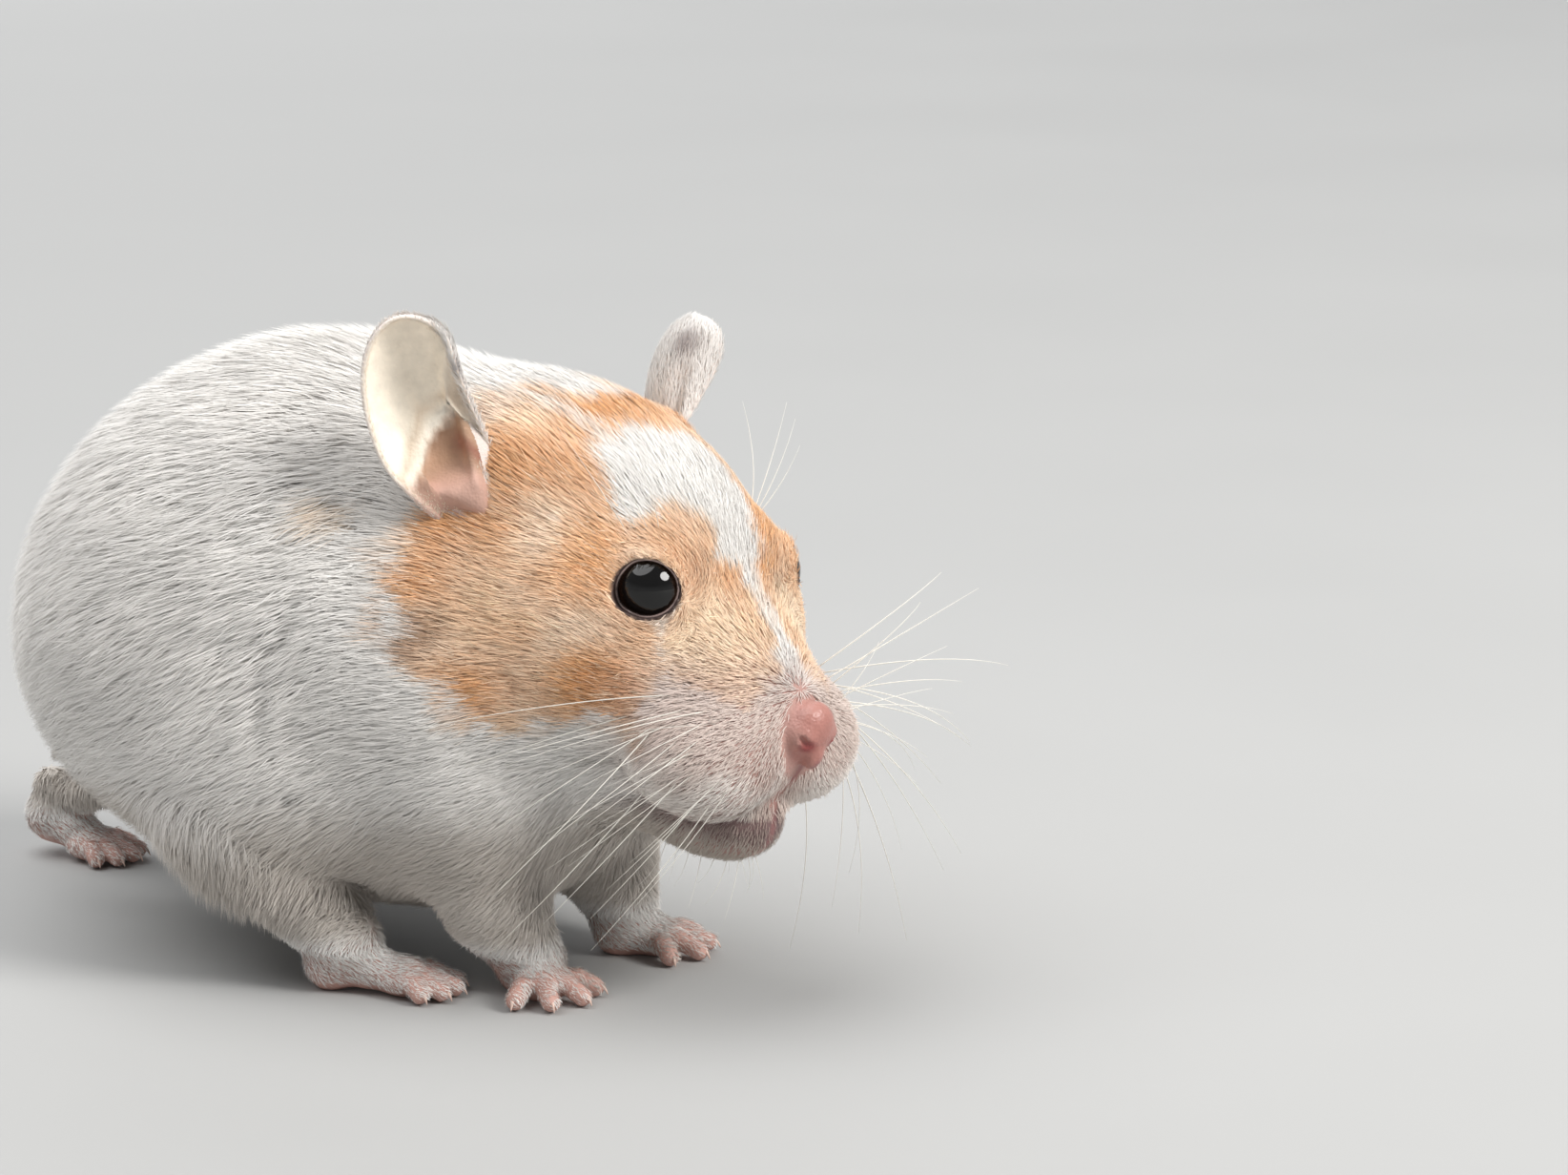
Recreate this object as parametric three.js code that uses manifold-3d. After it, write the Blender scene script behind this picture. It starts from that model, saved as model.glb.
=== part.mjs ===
// A young adult Syrian hamster at life size, a still model in mid-step. Millimetres, +Z up. It faces -Y,
// its left side is +X, and its four feet stand on the floor at z = 0. The outline includes the coat.
// The body is one smooth field of blended ellipsoids and tapered limbs, turned into facets region by
// region and parted by thin cuts. Ears, eyes, nose pad, feet and tail are set into it.
import * as THREE from "three";
import { mergeVertices } from "three/addons/utils/BufferGeometryUtils.js";
import Module from "manifold-3d";

const wasm = await Module();
wasm.setup();

// ---- Driving dimensions ----
const GAP = 0.3; // the thin cut between two neighbouring pieces
const EYE_R = 3.3; // eyeball
const EYE_SIDE = 8.85; // each eyeball's centre from the middle of the head
const NOSE_PAD = [2.7, 2.3, 3.1]; // half width, depth and height of the bare pad
const EAR_LENGTH = 21;
const EAR_WIDTH = 13.4;
const EAR_THICK = 0.9;
const TAIL_R = 1.7;
const DIGIT_R = 1.2;
const CLAW_LENGTH = 0.9;
const CELL = { trunk: 5.9, head: 3.2, limb: 3.1 }; // spacing of the grids that the field is sampled on

// The head's own frame: x to its left, y backwards, z up, with its origin midway between the eyes.
const HEAD_AT = [-2, -48.1, 40.4];
const HEAD_TURN = -11.8; // towards its right
const HEAD_NOD = 14.5; // nose down
const HEAD_TILT = 3.5; // left side down

// ---- Small helpers ----
const deg = THREE.MathUtils.degToRad;
const lerp = THREE.MathUtils.lerp;
const clamp = THREE.MathUtils.clamp;
const v3 = (x, y, z) => new THREE.Vector3(x, y, z);
const both = (make) => [-1, 1].map(make); // its right, then its left

const WORLD = new THREE.Matrix4();
const HEAD_FRAME = new THREE.Matrix4()
  .makeRotationZ(deg(HEAD_TURN))
  .multiply(new THREE.Matrix4().makeRotationX(deg(HEAD_NOD)))
  .multiply(new THREE.Matrix4().makeRotationY(deg(HEAD_TILT)))
  .setPosition(...HEAD_AT);

function frameAt(centre, spin, parent = WORLD) {
  const turn = new THREE.Quaternion().setFromEuler(new THREE.Euler(...spin.map(deg)));
  return parent.clone().multiply(new THREE.Matrix4().compose(v3(...centre), turn, v3(1, 1, 1)));
}

// ---- The body's field: negative inside, about the distance in mm near the surface ----
function ellipsoid(centre, [rx, ry, rz], spin = [0, 0, 0], parent = WORLD) {
  const toLocal = frameAt(centre, spin, parent).invert();
  const q = v3(0, 0, 0);
  return (p) => {
    q.copy(p).applyMatrix4(toLocal);
    const near = Math.hypot(q.x / rx, q.y / ry, q.z / rz);
    const slope = Math.hypot(q.x / rx ** 2, q.y / ry ** 2, q.z / rz ** 2);
    return slope < 1e-6 ? -Math.min(rx, ry, rz) : (near * (near - 1)) / slope;
  };
}

// A limb that tapers from radius ra at a to rb at b.
function limb(a, b, ra, rb) {
  const start = v3(...a);
  const along = v3(...b).sub(start);
  const q = v3(0, 0, 0);
  return (p) => {
    q.copy(p).sub(start);
    const t = clamp(q.dot(along) / along.lengthSq(), 0, 1);
    return q.addScaledVector(along, -t).length() - lerp(ra, rb, t);
  };
}

function blend(a, b, reach) {
  const h = Math.max(reach - Math.abs(a - b), 0) / reach;
  return Math.min(a, b) - (h * h * reach) / 4;
}

const onHead = (centre, radii, spin) => ellipsoid(centre, radii, spin, HEAD_FRAME);

// [shape, how softly it blends into those before it]
const MASSES = [
  [ellipsoid([0, -6.5, 34], [26, 29.5, 27]), 0], // back and flanks
  [ellipsoid([0, 5.5, 30], [24, 20, 20]), 10], // rump
  [ellipsoid([-0.5, -25, 28], [20.5, 19.5, 21]), 10], // chest and shoulders
  [ellipsoid([0, -11, 19], [19.5, 23, 12.5]), 8], // belly
  [ellipsoid([-15.5, -6.8, 21], [10, 11.5, 12.3]), 8], // right haunch
  [ellipsoid([14.5, 5, 20], [10, 14, 13]), 8], // left haunch
  [onHead([0, 21, -4], [15.5, 15, 16]), 9], // neck
  [onHead([0, 12, -2], [14, 16.5, 14]), 6], // cranium
  ...both((s) => [onHead([s * 9.6, 6.5, -9], [7.4, 12, 10.5]), 6]), // cheeks
  [onHead([0, -5.5, -9.2], [8.4, 11, 8.2], [25, 0, 0]), 7], // muzzle
  ...both((s) => [onHead([s * 6.8, -9.2, -13.2], [6.1, 7.1, 6.1], [0, 0, -25 * s]), 3]), // whisker pads
  ...both((s) => [onHead([s * 4.6, 1.5, 2.2], [3.6, 4.5, 3.6]), 3]), // brows
  ...both((s) => [onHead([s * 11, 17, 4.5], [4, 4.5, 5]), 4]), // ear roots
  [onHead([0, -7.7, -20.1], [5.2, 6.9, 4.8]), 3], // lower jaw
  [onHead([0, 1.5, -18.6], [8.6, 10.5, 6.4]), 4], // throat
];

// Each foreleg from shoulder to elbow to wrist, each hind leg from knee to ankle.
const LIMBS = [
  [limb([-12, -28, 20], [-11, -30, 9], 7, 4.6), 5],
  [limb([-11, -30, 9], [-9.2, -33, 3], 4.6, 3.3), 2],
  [limb([10, -30, 20], [7.6, -32, 9], 7, 4.6), 5],
  [limb([7.6, -32, 9], [6.2, -34.8, 3], 4.6, 3.3), 2],
  [limb([-18, -5.5, 15], [-16.8, -17, 5], 6.8, 3.7), 4],
  [limb([12, 17, 16], [10, 32, 8], 6.5, 3.6), 4],
];

const PARTS = [...MASSES, ...LIMBS];

function body(p) {
  let f = 1e3;
  for (const [shape, reach] of PARTS) {
    const g = shape(p);
    f = reach ? blend(f, g, reach) : Math.min(f, g);
  }
  return f;
}

// ---- From field to facets: one vertex in each grid cell that the surface crosses ----
function facets(field, low, high, cell) {
  const count = [0, 1, 2].map((m) => Math.ceil((high[m] - low[m]) / cell) + 1);
  const at = (i, j, k) => (k * count[1] + j) * count[0] + i;
  const values = new Float32Array(count[0] * count[1] * count[2]);
  const last = count.map((n) => n - 1);
  for (let k = 0; k < count[2]; k++) {
    for (let j = 0; j < count[1]; j++) {
      for (let i = 0; i < count[0]; i++) {
        const rim = [i, j, k].some((c, m) => c === 0 || c === last[m]);
        values[at(i, j, k)] = rim ? cell : field(v3(low[0] + i * cell, low[1] + j * cell, low[2] + k * cell));
      }
    }
  }

  const STEPS = [[1, 0, 0], [0, 1, 0], [0, 0, 1]];
  const places = [];
  const known = new Map();
  function vertex(i, j, k) {
    const key = at(i, j, k);
    if (known.has(key)) return known.get(key);
    const sum = v3(0, 0, 0);
    let crossings = 0;
    for (let corner = 0; corner < 8; corner++) {
      const a = [corner & 1, (corner >> 1) & 1, (corner >> 2) & 1];
      STEPS.forEach((step, axis) => {
        if (a[axis]) return;
        const b = a.map((c, m) => c + step[m]);
        const fa = values[at(i + a[0], j + a[1], k + a[2])];
        const fb = values[at(i + b[0], j + b[1], k + b[2])];
        if (fa < 0 === fb < 0) return;
        const t = fa / (fa - fb);
        sum.add(v3(lerp(a[0], b[0], t), lerp(a[1], b[1], t), lerp(a[2], b[2], t)));
        crossings++;
      });
    }
    sum.divideScalar(crossings).add(v3(i, j, k)).multiplyScalar(cell).add(v3(...low));
    known.set(key, places.length / 3);
    places.push(...settle(field, sum, cell * 0.6).toArray());
    return known.get(key);
  }

  const index = [];
  for (let k = 1; k < last[2]; k++) {
    for (let j = 1; j < last[1]; j++) {
      for (let i = 1; i < last[0]; i++) {
        STEPS.forEach((step, axis) => {
          const inside = values[at(i, j, k)] < 0;
          if (inside === values[at(i + step[0], j + step[1], k + step[2])] < 0) return;
          const [u, v] = [STEPS[(axis + 1) % 3], STEPS[(axis + 2) % 3]];
          const ring = [[0, 0], [1, 0], [1, 1], [0, 1]].map(([a, b]) =>
            vertex(i - a * u[0] - b * v[0], j - a * u[1] - b * v[1], k - a * u[2] - b * v[2]),
          );
          if (!inside) ring.reverse();
          index.push(ring[0], ring[1], ring[2], ring[0], ring[2], ring[3]);
        });
      }
    }
  }
  return new THREE.BufferGeometry()
    .setAttribute("position", new THREE.Float32BufferAttribute(places, 3))
    .setIndex(index);
}

// Moves a point along the field's slope onto the surface, unless that is farther than the limit.
function settle(field, start, limit) {
  const p = start.clone();
  const h = 0.05;
  for (let turn = 0; turn < 3; turn++) {
    const f = field(p);
    const slope = v3(
      field(v3(p.x + h, p.y, p.z)) - f,
      field(v3(p.x, p.y + h, p.z)) - f,
      field(v3(p.x, p.y, p.z + h)) - f,
    ).divideScalar(h);
    p.addScaledVector(slope, -f / Math.max(slope.lengthSq(), 0.1));
  }
  return p.distanceTo(start) < limit ? p : start;
}

// ---- Solids ----
function solid(geometry) {
  const bare = geometry.clone();
  bare.deleteAttribute("normal");
  bare.deleteAttribute("uv");
  const merged = mergeVertices(bare, 1e-4);
  return new wasm.Manifold(
    new wasm.Mesh({
      numProp: 3,
      vertProperties: new Float32Array(merged.attributes.position.array),
      triVerts: new Uint32Array(merged.index.array),
    }),
  );
}

function geometryOf(made) {
  const mesh = made.getMesh();
  return new THREE.BufferGeometry()
    .setAttribute("position", new THREE.BufferAttribute(mesh.vertProperties, 3))
    .setIndex(new THREE.BufferAttribute(mesh.triVerts, 1));
}

function egg(centre, radii, spin = [0, 0, 0], parent = WORLD, around = 14) {
  const geometry = new THREE.SphereGeometry(1, around, Math.round(around * 0.6)).scale(...radii);
  return solid(geometry.applyMatrix4(frameAt(centre, spin, parent)));
}

const HALF = 200; // half the size of a block that takes in everything

// A closed tube through rings [x, y, z, radius]. The rings start from the axis that the tube crosses most,
// so that they don't twist against each other.
function tube(rings, sides = 7) {
  const centres = rings.map(([x, y, z]) => v3(x, y, z));
  const chord = centres.at(-1).clone().sub(centres[0]);
  const axes = [v3(1, 0, 0), v3(0, 1, 0), v3(0, 0, 1)];
  const [across] = axes.sort((a, b) => Math.abs(a.dot(chord)) - Math.abs(b.dot(chord)));
  const places = [];
  const index = [];
  rings.forEach((ring, n) => {
    const ahead = centres[Math.min(n + 1, rings.length - 1)].clone();
    const along = ahead.sub(centres[Math.max(n - 1, 0)]).normalize();
    const u = across.clone().addScaledVector(along, -across.dot(along)).normalize();
    const v = along.clone().cross(u);
    for (let m = 0; m < sides; m++) {
      const a = (2 * Math.PI * m) / sides;
      const spoke = centres[n].clone().addScaledVector(u, Math.cos(a) * ring[3]);
      places.push(...spoke.addScaledVector(v, Math.sin(a) * ring[3]).toArray());
    }
  });
  const first = places.length / 3;
  places.push(...centres[0].toArray(), ...centres.at(-1).toArray());
  for (let m = 0; m < sides; m++) {
    const next = (m + 1) % sides;
    const end = (rings.length - 1) * sides;
    index.push(first, next, m, first + 1, end + m, end + next);
    for (let n = 0; n < rings.length - 1; n++) {
      const [a, b, c, d] = [n * sides + m, n * sides + next, (n + 1) * sides + m, (n + 1) * sides + next];
      index.push(a, b, d, a, d, c);
    }
  }
  return solid(
    new THREE.BufferGeometry()
      .setAttribute("position", new THREE.Float32BufferAttribute(places, 3))
      .setIndex(index),
  );
}

// Whether two sheets of a surface touch along an edge, which then runs the same way in two of its facets,
// or a facet has closed up.
function sheetsTouch(geometry) {
  const corners = geometry.index.array;
  const edges = new Set();
  for (let n = 0; n < corners.length; n += 3) {
    for (let m = 0; m < 3; m++) {
      const [from, to] = [corners[n + m], corners[n + ((m + 1) % 3)]];
      const edge = `${from},${to}`;
      if (from === to || edges.has(edge)) return true;
      edges.add(edge);
    }
  }
  return false;
}

// The solid of a field, on the first of some slightly moved grids where no two sheets touch.
function fieldSolid(field, low, high, cell) {
  for (let nudge = 0; nudge < 1; nudge += 0.09) {
    const surface = mergeVertices(facets(field, low.map((c) => c - nudge * cell), high, cell), 0.01);
    if (!sheetsTouch(surface)) return solid(surface);
  }
  throw new Error("every grid leaves two sheets that touch");
}

const joined = (solids) => solids.reduce((sum, next) => sum.add(next));
const without = (made, cutters) => cutters.reduce((rest, cutter) => rest.subtract(cutter), made);
const grown = (radii, by) => radii.map((r) => r + by);

const group = new THREE.Group();
const COAT = { color: 0xe8e4df, roughness: 0.85 };
const GINGER = { color: 0xd6a06a, roughness: 0.85 };
const BARE = { color: 0xd9aaa1, roughness: 0.6 };
const EAR = { color: 0xd8c3b0, roughness: 0.65 };
const EYE = { color: 0x0b0908, roughness: 0.06 };

function add(name, made, look) {
  const mesh = new THREE.Mesh(geometryOf(made), new THREE.MeshStandardMaterial({ ...look, metalness: 0 }));
  mesh.name = name;
  group.add(mesh);
}

// ---- Where the body is parted ----
const NECK_PLANE = [[0, 25, 10], [0, 0.79, -0.62], HEAD_FRAME]; // behind the ears and the jaw
const SHOULDER_PLANE = [[0, -17, 55], [0, 0.85, -0.53], WORLD];
const WAIST_PLANE = [[0, -3, 30], [0, 1, 0.12], WORLD];
const THIGHS = {
  right: { at: [-21, -2, 16], radii: [11, 14.5, 15], spin: [22, 0, 0] },
  left: { at: [20, 9, 17], radii: [11, 14.5, 15], spin: [22, 0, 0] },
};
const SHOULDERS = {
  right: { at: [-16, -28, 15], radii: [9, 9, 11], spin: [12, 0, 0] },
  left: { at: [14, -31, 15], radii: [9, 9, 11], spin: [12, 0, 0] },
};
// Sleeves round the lower legs: the middle at the bottom and at the top, the radius, and the top.
const FOREARMS = {
  right: { low: [-9.2, -33], high: [-11, -30], radius: 5.9, top: 9 },
  left: { low: [6.2, -34.8], high: [7.6, -32], radius: 5.9, top: 9 },
};
const SHANKS = {
  right: { low: [-16.8, -16.5], high: [-17.4, -11], radius: 6, top: 9.5 },
  left: { low: [10, 32.5], high: [11, 24.5], radius: 7.2, top: 13 },
};
const WRIST_Z = 4.1;
const ANKLE_Z = { right: 4.6, left: 6.6 };

const past = ([point, normal, parent], shift) => {
  const slab = new THREE.BoxGeometry(HALF, HALF, HALF).translate(0, 0, HALF / 2 + shift);
  const turn = new THREE.Quaternion().setFromUnitVectors(v3(0, 0, 1), v3(...normal).normalize());
  return solid(slab.applyQuaternion(turn).translate(...point).applyMatrix4(parent));
};
const block = (low, high) => {
  const size = high.map((h, m) => h - low[m]);
  const middle = high.map((h, m) => (h + low[m]) / 2);
  return solid(new THREE.BoxGeometry(...size).translate(...middle));
};
function sleeve({ low, high, radius, top }, bottom, by) {
  const wide = radius + by;
  const cutter = tube([[...low, -12, wide], [...low, 2, wide], [...high, top + by, wide]], 8);
  return cutter.intersect(block([-HALF, -HALF, bottom], [HALF, HALF, top + by]));
}
const bulge = ({ at, radii, spin }, by) => egg(at, grown(radii, by), spin, WORLD, 11);

// The field on the near side of a plane and a little past it, so that the plane can cut it cleanly.
function nearSide(field, [point, normal, parent]) {
  const toLocal = parent.clone().invert();
  const n = v3(...normal).normalize();
  return (p) => Math.max(field(p), p.clone().applyMatrix4(toLocal).sub(v3(...point)).dot(n) - 7);
}

// The field inside a ball and a little past it.
const nearPoint = (field, centre, radius) => {
  const middle = v3(...centre);
  return (p) => Math.max(field(p), p.distanceTo(middle) - radius);
};
const local = (centre, radius, cell) => {
  const margin = radius + cell * 1.5;
  const [low, high] = [-margin, margin].map((m) => centre.map((c) => c + m));
  return fieldSolid(nearPoint(body, centre, radius), low, high, cell);
};

// ---- Ears: hollowed eggs, each with its own lie on the head ----
// at: middle of the pinna; up: from root to tip; open: the way the hollow faces (all in the head's frame)
const EARS = {
  ear_right: {
    at: [-20.5, 19.6, 10.2], up: [-0.17, 0.5, 0.85], open: [-0.8, -0.5, 0.28], length: EAR_LENGTH,
  },
  ear_left: {
    at: [18.8, 19.3, 7.6], up: [0.2, 0.4, 0.88], open: [0.93, -0.33, 0.1], length: EAR_LENGTH - 1,
  },
};

function ear({ at, up, open, length }) {
  const z = v3(...up).normalize();
  const y = v3(...open).negate();
  y.addScaledVector(z, -y.dot(z)).normalize();
  const lie = new THREE.Matrix4().makeBasis(y.clone().cross(z), y, z).setPosition(...at);
  const frame = HEAD_FRAME.clone().multiply(lie);
  const outer = [EAR_WIDTH / 2, 5, length / 2];
  const inner = grown(outer, -EAR_THICK);
  const whole = egg([0, 0, 0], outer, [0, 0, 0], frame, 12);
  const shell = whole.subtract(egg([0, -0.1, 0], inner, [0, 0, 0], frame, 12));
  return shell.subtract(past([[0, -0.4, 0], [0, -1, 0], frame], 0));
}

// ---- Feet ----
// at: the heel; turn: degrees from straight ahead, + to its left; reach: each digit's length; fan: its angle
const FEET = {
  forepaw_right: {
    at: [-9.1, -32.2], turn: -30, long: 3.6, wide: 3.4, top: WRIST_Z - GAP, heel: 2.6,
    reach: [3.7, 4.6, 4.6, 3.8], fan: [-50, -16, 14, 46],
  },
  forepaw_left: {
    at: [6.1, -34.6], turn: 14, long: 3.6, wide: 3.4, top: WRIST_Z - GAP, heel: 2.6,
    reach: [3.7, 4.6, 4.6, 3.8], fan: [-50, -16, 14, 46],
  },
  hindfoot_right: {
    at: [-17.1, -15.8], turn: 12, long: 7.2, wide: 3.3, top: ANKLE_Z.right - GAP, heel: 2.8,
    reach: [3.4, 4.5, 4.9, 4.6, 3.4], fan: [-38, -18, 0, 18, 40],
  },
  hindfoot_left: {
    at: [9.8, 35.8], turn: 2, long: 4.6, wide: 3.3, top: ANKLE_Z.left - GAP, heel: 4.4,
    reach: [3.4, 4.5, 4.9, 4.6, 3.4], fan: [-38, -18, 0, 18, 40],
  },
};

function foot({ at, turn, long, wide, top, heel, reach, fan }) {
  const frame = frameAt([at[0], at[1], 0], [0, 0, turn]); // its digits point along -y
  const ball = [0, -long, 1.6];
  const sole = tube(
    [
      [0, 1.8, heel, 1.3],
      [0, 0.6, heel - 0.2, 2.5],
      [0, -long * 0.5, (heel + 2) / 2, 2.7],
      [0, -long - 0.6, 1.6, 2.2],
    ],
    7,
  );
  const pad = egg(ball, [wide, 2.8, 1.9], [0, 0, 0], WORLD, 8);
  const shin = tube([[0, 0.4, heel - 1.2, 2.9], [0, 0.2, top + 1.5, 2.9]], 7);
  const digits = reach.map((length, n) => {
    const a = deg(fan[n]);
    const root = [Math.sin(a) * wide * 0.75, -long + 0.6 - Math.cos(a) * 1.2];
    const ray = (t, z, r) => [root[0] + Math.sin(a) * t, root[1] - Math.cos(a) * t, z, r];
    const toe = tube([
      ray(0, 1.9, DIGIT_R * 0.9),
      ray(length * 0.75, 1.25, DIGIT_R),
      ray(length, 0.95, DIGIT_R * 0.6),
    ], 5);
    const claw = tube([ray(length * 0.8, 1.4, 0.45), ray(length + CLAW_LENGTH, 0.6, 0.26)], 4);
    return toe.add(claw);
  });
  const whole = joined([sole, pad, shin, ...digits]);
  const flat = block([-HALF, -HALF, 0], [HALF, HALF, top]);
  return geometryOf(whole.intersect(flat)).applyMatrix4(frame);
}

// ---- The pieces ----
const LOW = [-40, -80, -4];
const HIGH = [40, 60, 76];
const coarse = fieldSolid(body, LOW, HIGH, CELL.trunk);
const fine = fieldSolid(nearSide(body, NECK_PLANE), [-36, -80, 4], [30, -8, 72], CELL.head);
const padded = fieldSolid((p) => body(p) - GAP - 0.15, LOW, HIGH, 3); // the body with a margin round it

const sides = ["right", "left"];
// The right eye sits a little ahead of the left and higher, as in the photo.
const eyeAt = (side) => [side * EYE_SIDE, -0.5 + 0.2 * side, 0.05 - 0.35 * side];
const eyeball = (side, by, around) =>
  egg(eyeAt(side), grown([EYE_R, EYE_R, EYE_R], by), [0, 0, 0], HEAD_FRAME, around);
const NOSE_AT = [0, -15.6, -9];
const nose = (by) => egg(NOSE_AT, grown(NOSE_PAD, by), [12, 0, 0], HEAD_FRAME, 12);
const jawBox = (by) =>
  solid(
    new THREE.BoxGeometry(13 + 2 * by, 17 + by, 20)
      .translate(0, -8, -10 + by)
      .applyMatrix4(frameAt([0, -3, -20.6], [-14, 0, 0], HEAD_FRAME)),
  );

let rest = coarse; // what is left for the trunk

// legs, from the ground up
const legs = {};
for (const side of sides) {
  const [forearm, shank] = [FOREARMS[side], SHANKS[side]];
  const rooms = [sleeve(forearm, -9, GAP), sleeve(shank, -9, GAP)];
  legs[`forearm_${side}`] = local([...forearm.low, 7], 11, CELL.limb).intersect(sleeve(forearm, WRIST_Z, 0));
  legs[`shank_${side}`] = local([...shank.low, 8], 13, CELL.limb).intersect(sleeve(shank, ANKLE_Z[side], 0));
  legs[`upper_arm_${side}`] = coarse
    .intersect(bulge(SHOULDERS[side], 0))
    .intersect(past(NECK_PLANE, GAP / 2))
    .subtract(rooms[0]);
  legs[`thigh_${side}`] = coarse.intersect(bulge(THIGHS[side], 0)).subtract(rooms[1]);
  rest = without(rest, [...rooms, bulge(SHOULDERS[side], GAP), bulge(THIGHS[side], GAP)]);
}

const head = without(fine, [
  past(NECK_PLANE, -GAP / 2),
  eyeball(-1, GAP, 12),
  eyeball(1, GAP, 12),
  nose(GAP),
  jawBox(GAP),
]);
const lowerJaw = fine.intersect(jawBox(0)).subtract(past(NECK_PLANE, -GAP / 2));
rest = rest.intersect(past(NECK_PLANE, GAP / 2));
const neck = without(rest, [past(SHOULDER_PLANE, -GAP / 2)]);
const trunk = rest.intersect(past(SHOULDER_PLANE, GAP / 2));
const chest = without(trunk, [past(WAIST_PLANE, -GAP / 2)]);
const tail = tube([
  [0, 20, 21.5, TAIL_R],
  [0, 24, 20, TAIL_R],
  [0, 26.3, 17.6, TAIL_R],
  [0, 27.2, 15.8, TAIL_R * 0.8],
  [0, 27.5, 14.4, TAIL_R * 0.55],
  [0, 27.5, 13.6, TAIL_R * 0.3],
], 9);

add("head", head, GINGER);
add("lower_jaw", lowerJaw, COAT);
add("nose", nose(0), BARE);
add("eye_right", eyeball(-1, 0, 12), EYE);
add("eye_left", eyeball(1, 0, 12), EYE);
for (const [name, shape] of Object.entries(EARS)) add(name, ear(shape).subtract(padded), EAR);
add("neck", neck, COAT);
add("chest", chest, COAT);
add("rump", trunk.intersect(past(WAIST_PLANE, GAP / 2)), COAT);
add("tail", tail.subtract(padded), BARE);
for (const [name, made] of Object.entries(legs)) add(name, made, COAT);
for (const [name, shape] of Object.entries(FEET)) add(name, solid(foot(shape)), BARE);

// The origin is on the floor, below the middle of the whole outline.
const outline = new THREE.Box3().setFromObject(group);
const middle = outline.getCenter(v3(0, 0, 0));
for (const mesh of group.children) mesh.geometry.translate(-middle.x, -middle.y, 0);

export default group;
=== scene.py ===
"""The looks of a Syrian hamster in mid-step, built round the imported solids.

Lengths are in millimetres until a mesh is made. +Z is up, the animal faces -Y and its left side is +X.
The skin is the surface of a field: smoothly blended ellipsoids and limbs, moved in by the coat's depth.
"""
import math
from collections import namedtuple

import bpy
import numpy as np
from mathutils import Matrix, Vector


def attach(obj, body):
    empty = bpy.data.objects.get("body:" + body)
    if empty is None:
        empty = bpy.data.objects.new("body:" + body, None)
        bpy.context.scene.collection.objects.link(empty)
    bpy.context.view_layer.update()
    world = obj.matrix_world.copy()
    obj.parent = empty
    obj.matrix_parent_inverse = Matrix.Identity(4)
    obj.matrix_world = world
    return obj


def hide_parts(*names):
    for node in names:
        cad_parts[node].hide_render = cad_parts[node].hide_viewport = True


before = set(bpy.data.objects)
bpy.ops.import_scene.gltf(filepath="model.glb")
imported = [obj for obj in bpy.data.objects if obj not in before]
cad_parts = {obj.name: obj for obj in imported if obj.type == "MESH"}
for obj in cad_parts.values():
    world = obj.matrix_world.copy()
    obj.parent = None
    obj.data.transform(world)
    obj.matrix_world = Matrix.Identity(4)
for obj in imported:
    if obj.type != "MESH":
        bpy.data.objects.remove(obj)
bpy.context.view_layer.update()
MM = 0.001
rng = np.random.default_rng(11)


# ---------------------------------------------------------------- frames and small sums
def turn(axis, degrees):
    """The matrix of a turn about the x, y or z axis, which are 0, 1 and 2."""
    c, s = math.cos(math.radians(degrees)), math.sin(math.radians(degrees))
    made = np.eye(3)
    a, b = [(1, 2), (2, 0), (0, 1)][axis]
    made[a, a] = made[b, b] = c
    made[a, b], made[b, a] = -s, s
    return made


CENTRE = np.array([0.15466, 12.00658, 0.0])  # moves the body's own numbers into the frame
WORLD = (CENTRE, np.eye(3))
HEAD = (np.array([-2.0, -48.1, 40.4]) + CENTRE, turn(2, -11.8) @ turn(0, 14.5) @ turn(1, 3.5))
SIDES = (-1, 1)  # its right, then its left


def place(frame_of, points):
    """Local points to the world."""
    return frame_of[0] + np.asarray(points, float) @ frame_of[1].T


def to_local(frame_of, points):
    return (points - frame_of[0]) @ frame_of[1]


def unit(v):
    return v / np.maximum(np.linalg.norm(v, axis=-1, keepdims=True), 1e-9)


def along_skin(v, normals):
    """Directions laid flat on the surface that has these normals."""
    return unit(v - normals * (v * normals).sum(1, keepdims=True))


def smooth(a, b, x):
    """0 at a, 1 at b, with an even start and end."""
    t = np.clip((x - a) / (b - a), 0, 1)
    return t * t * (3 - 2 * t)


def lerp(a, b, t):
    return a + (b - a) * t


def cube_corners(t):
    """Each corner of a grid cell, with its weight at the places t inside the cell."""
    for corner in np.ndindex(2, 2, 2):
        yield corner, np.abs(1 - np.array(corner) - t).prod(1)


# ---------------------------------------------------------------- shapes of the field
ADD, CUT = "add", "cut"
FAR = 60  # the field's value away from every shape
NEAR = 4  # a shape counts this far outside its box, and its reach more
Shape = namedtuple("Shape", "kind low high value reach")  # its box, its distance, and how far it blends


def seen_from(home, x, y, z):
    """Local coordinates of places whose x, y and z may be the axes of a grid."""
    at, axes = home
    return [(x - at[0]) * axes[0, m] + (y - at[1]) * axes[1, m] + (z - at[2]) * axes[2, m] for m in range(3)]


def egg(centre, radii, reach, spin=(0, 0, 0), home=WORLD, kind=ADD):
    """An ellipsoid, whose distance is a good guess near its surface."""
    axes = home[1] @ turn(0, spin[0]) @ turn(1, spin[1]) @ turn(2, spin[2])
    at = place(home, centre)
    radii = np.array(radii, float)
    half = np.sqrt(((axes * radii) ** 2).sum(1))

    def value(x, y, z):
        near = slope = 0
        for far, radius in zip(seen_from((at, axes), x, y, z), radii):
            q = far / radius
            near = near + q * q
            slope = slope + (q / radius) ** 2
        near = np.sqrt(near)
        return near * (near - 1) / np.sqrt(slope + 1e-9)

    return Shape(kind, at - half, at + half, value, reach)


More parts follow.
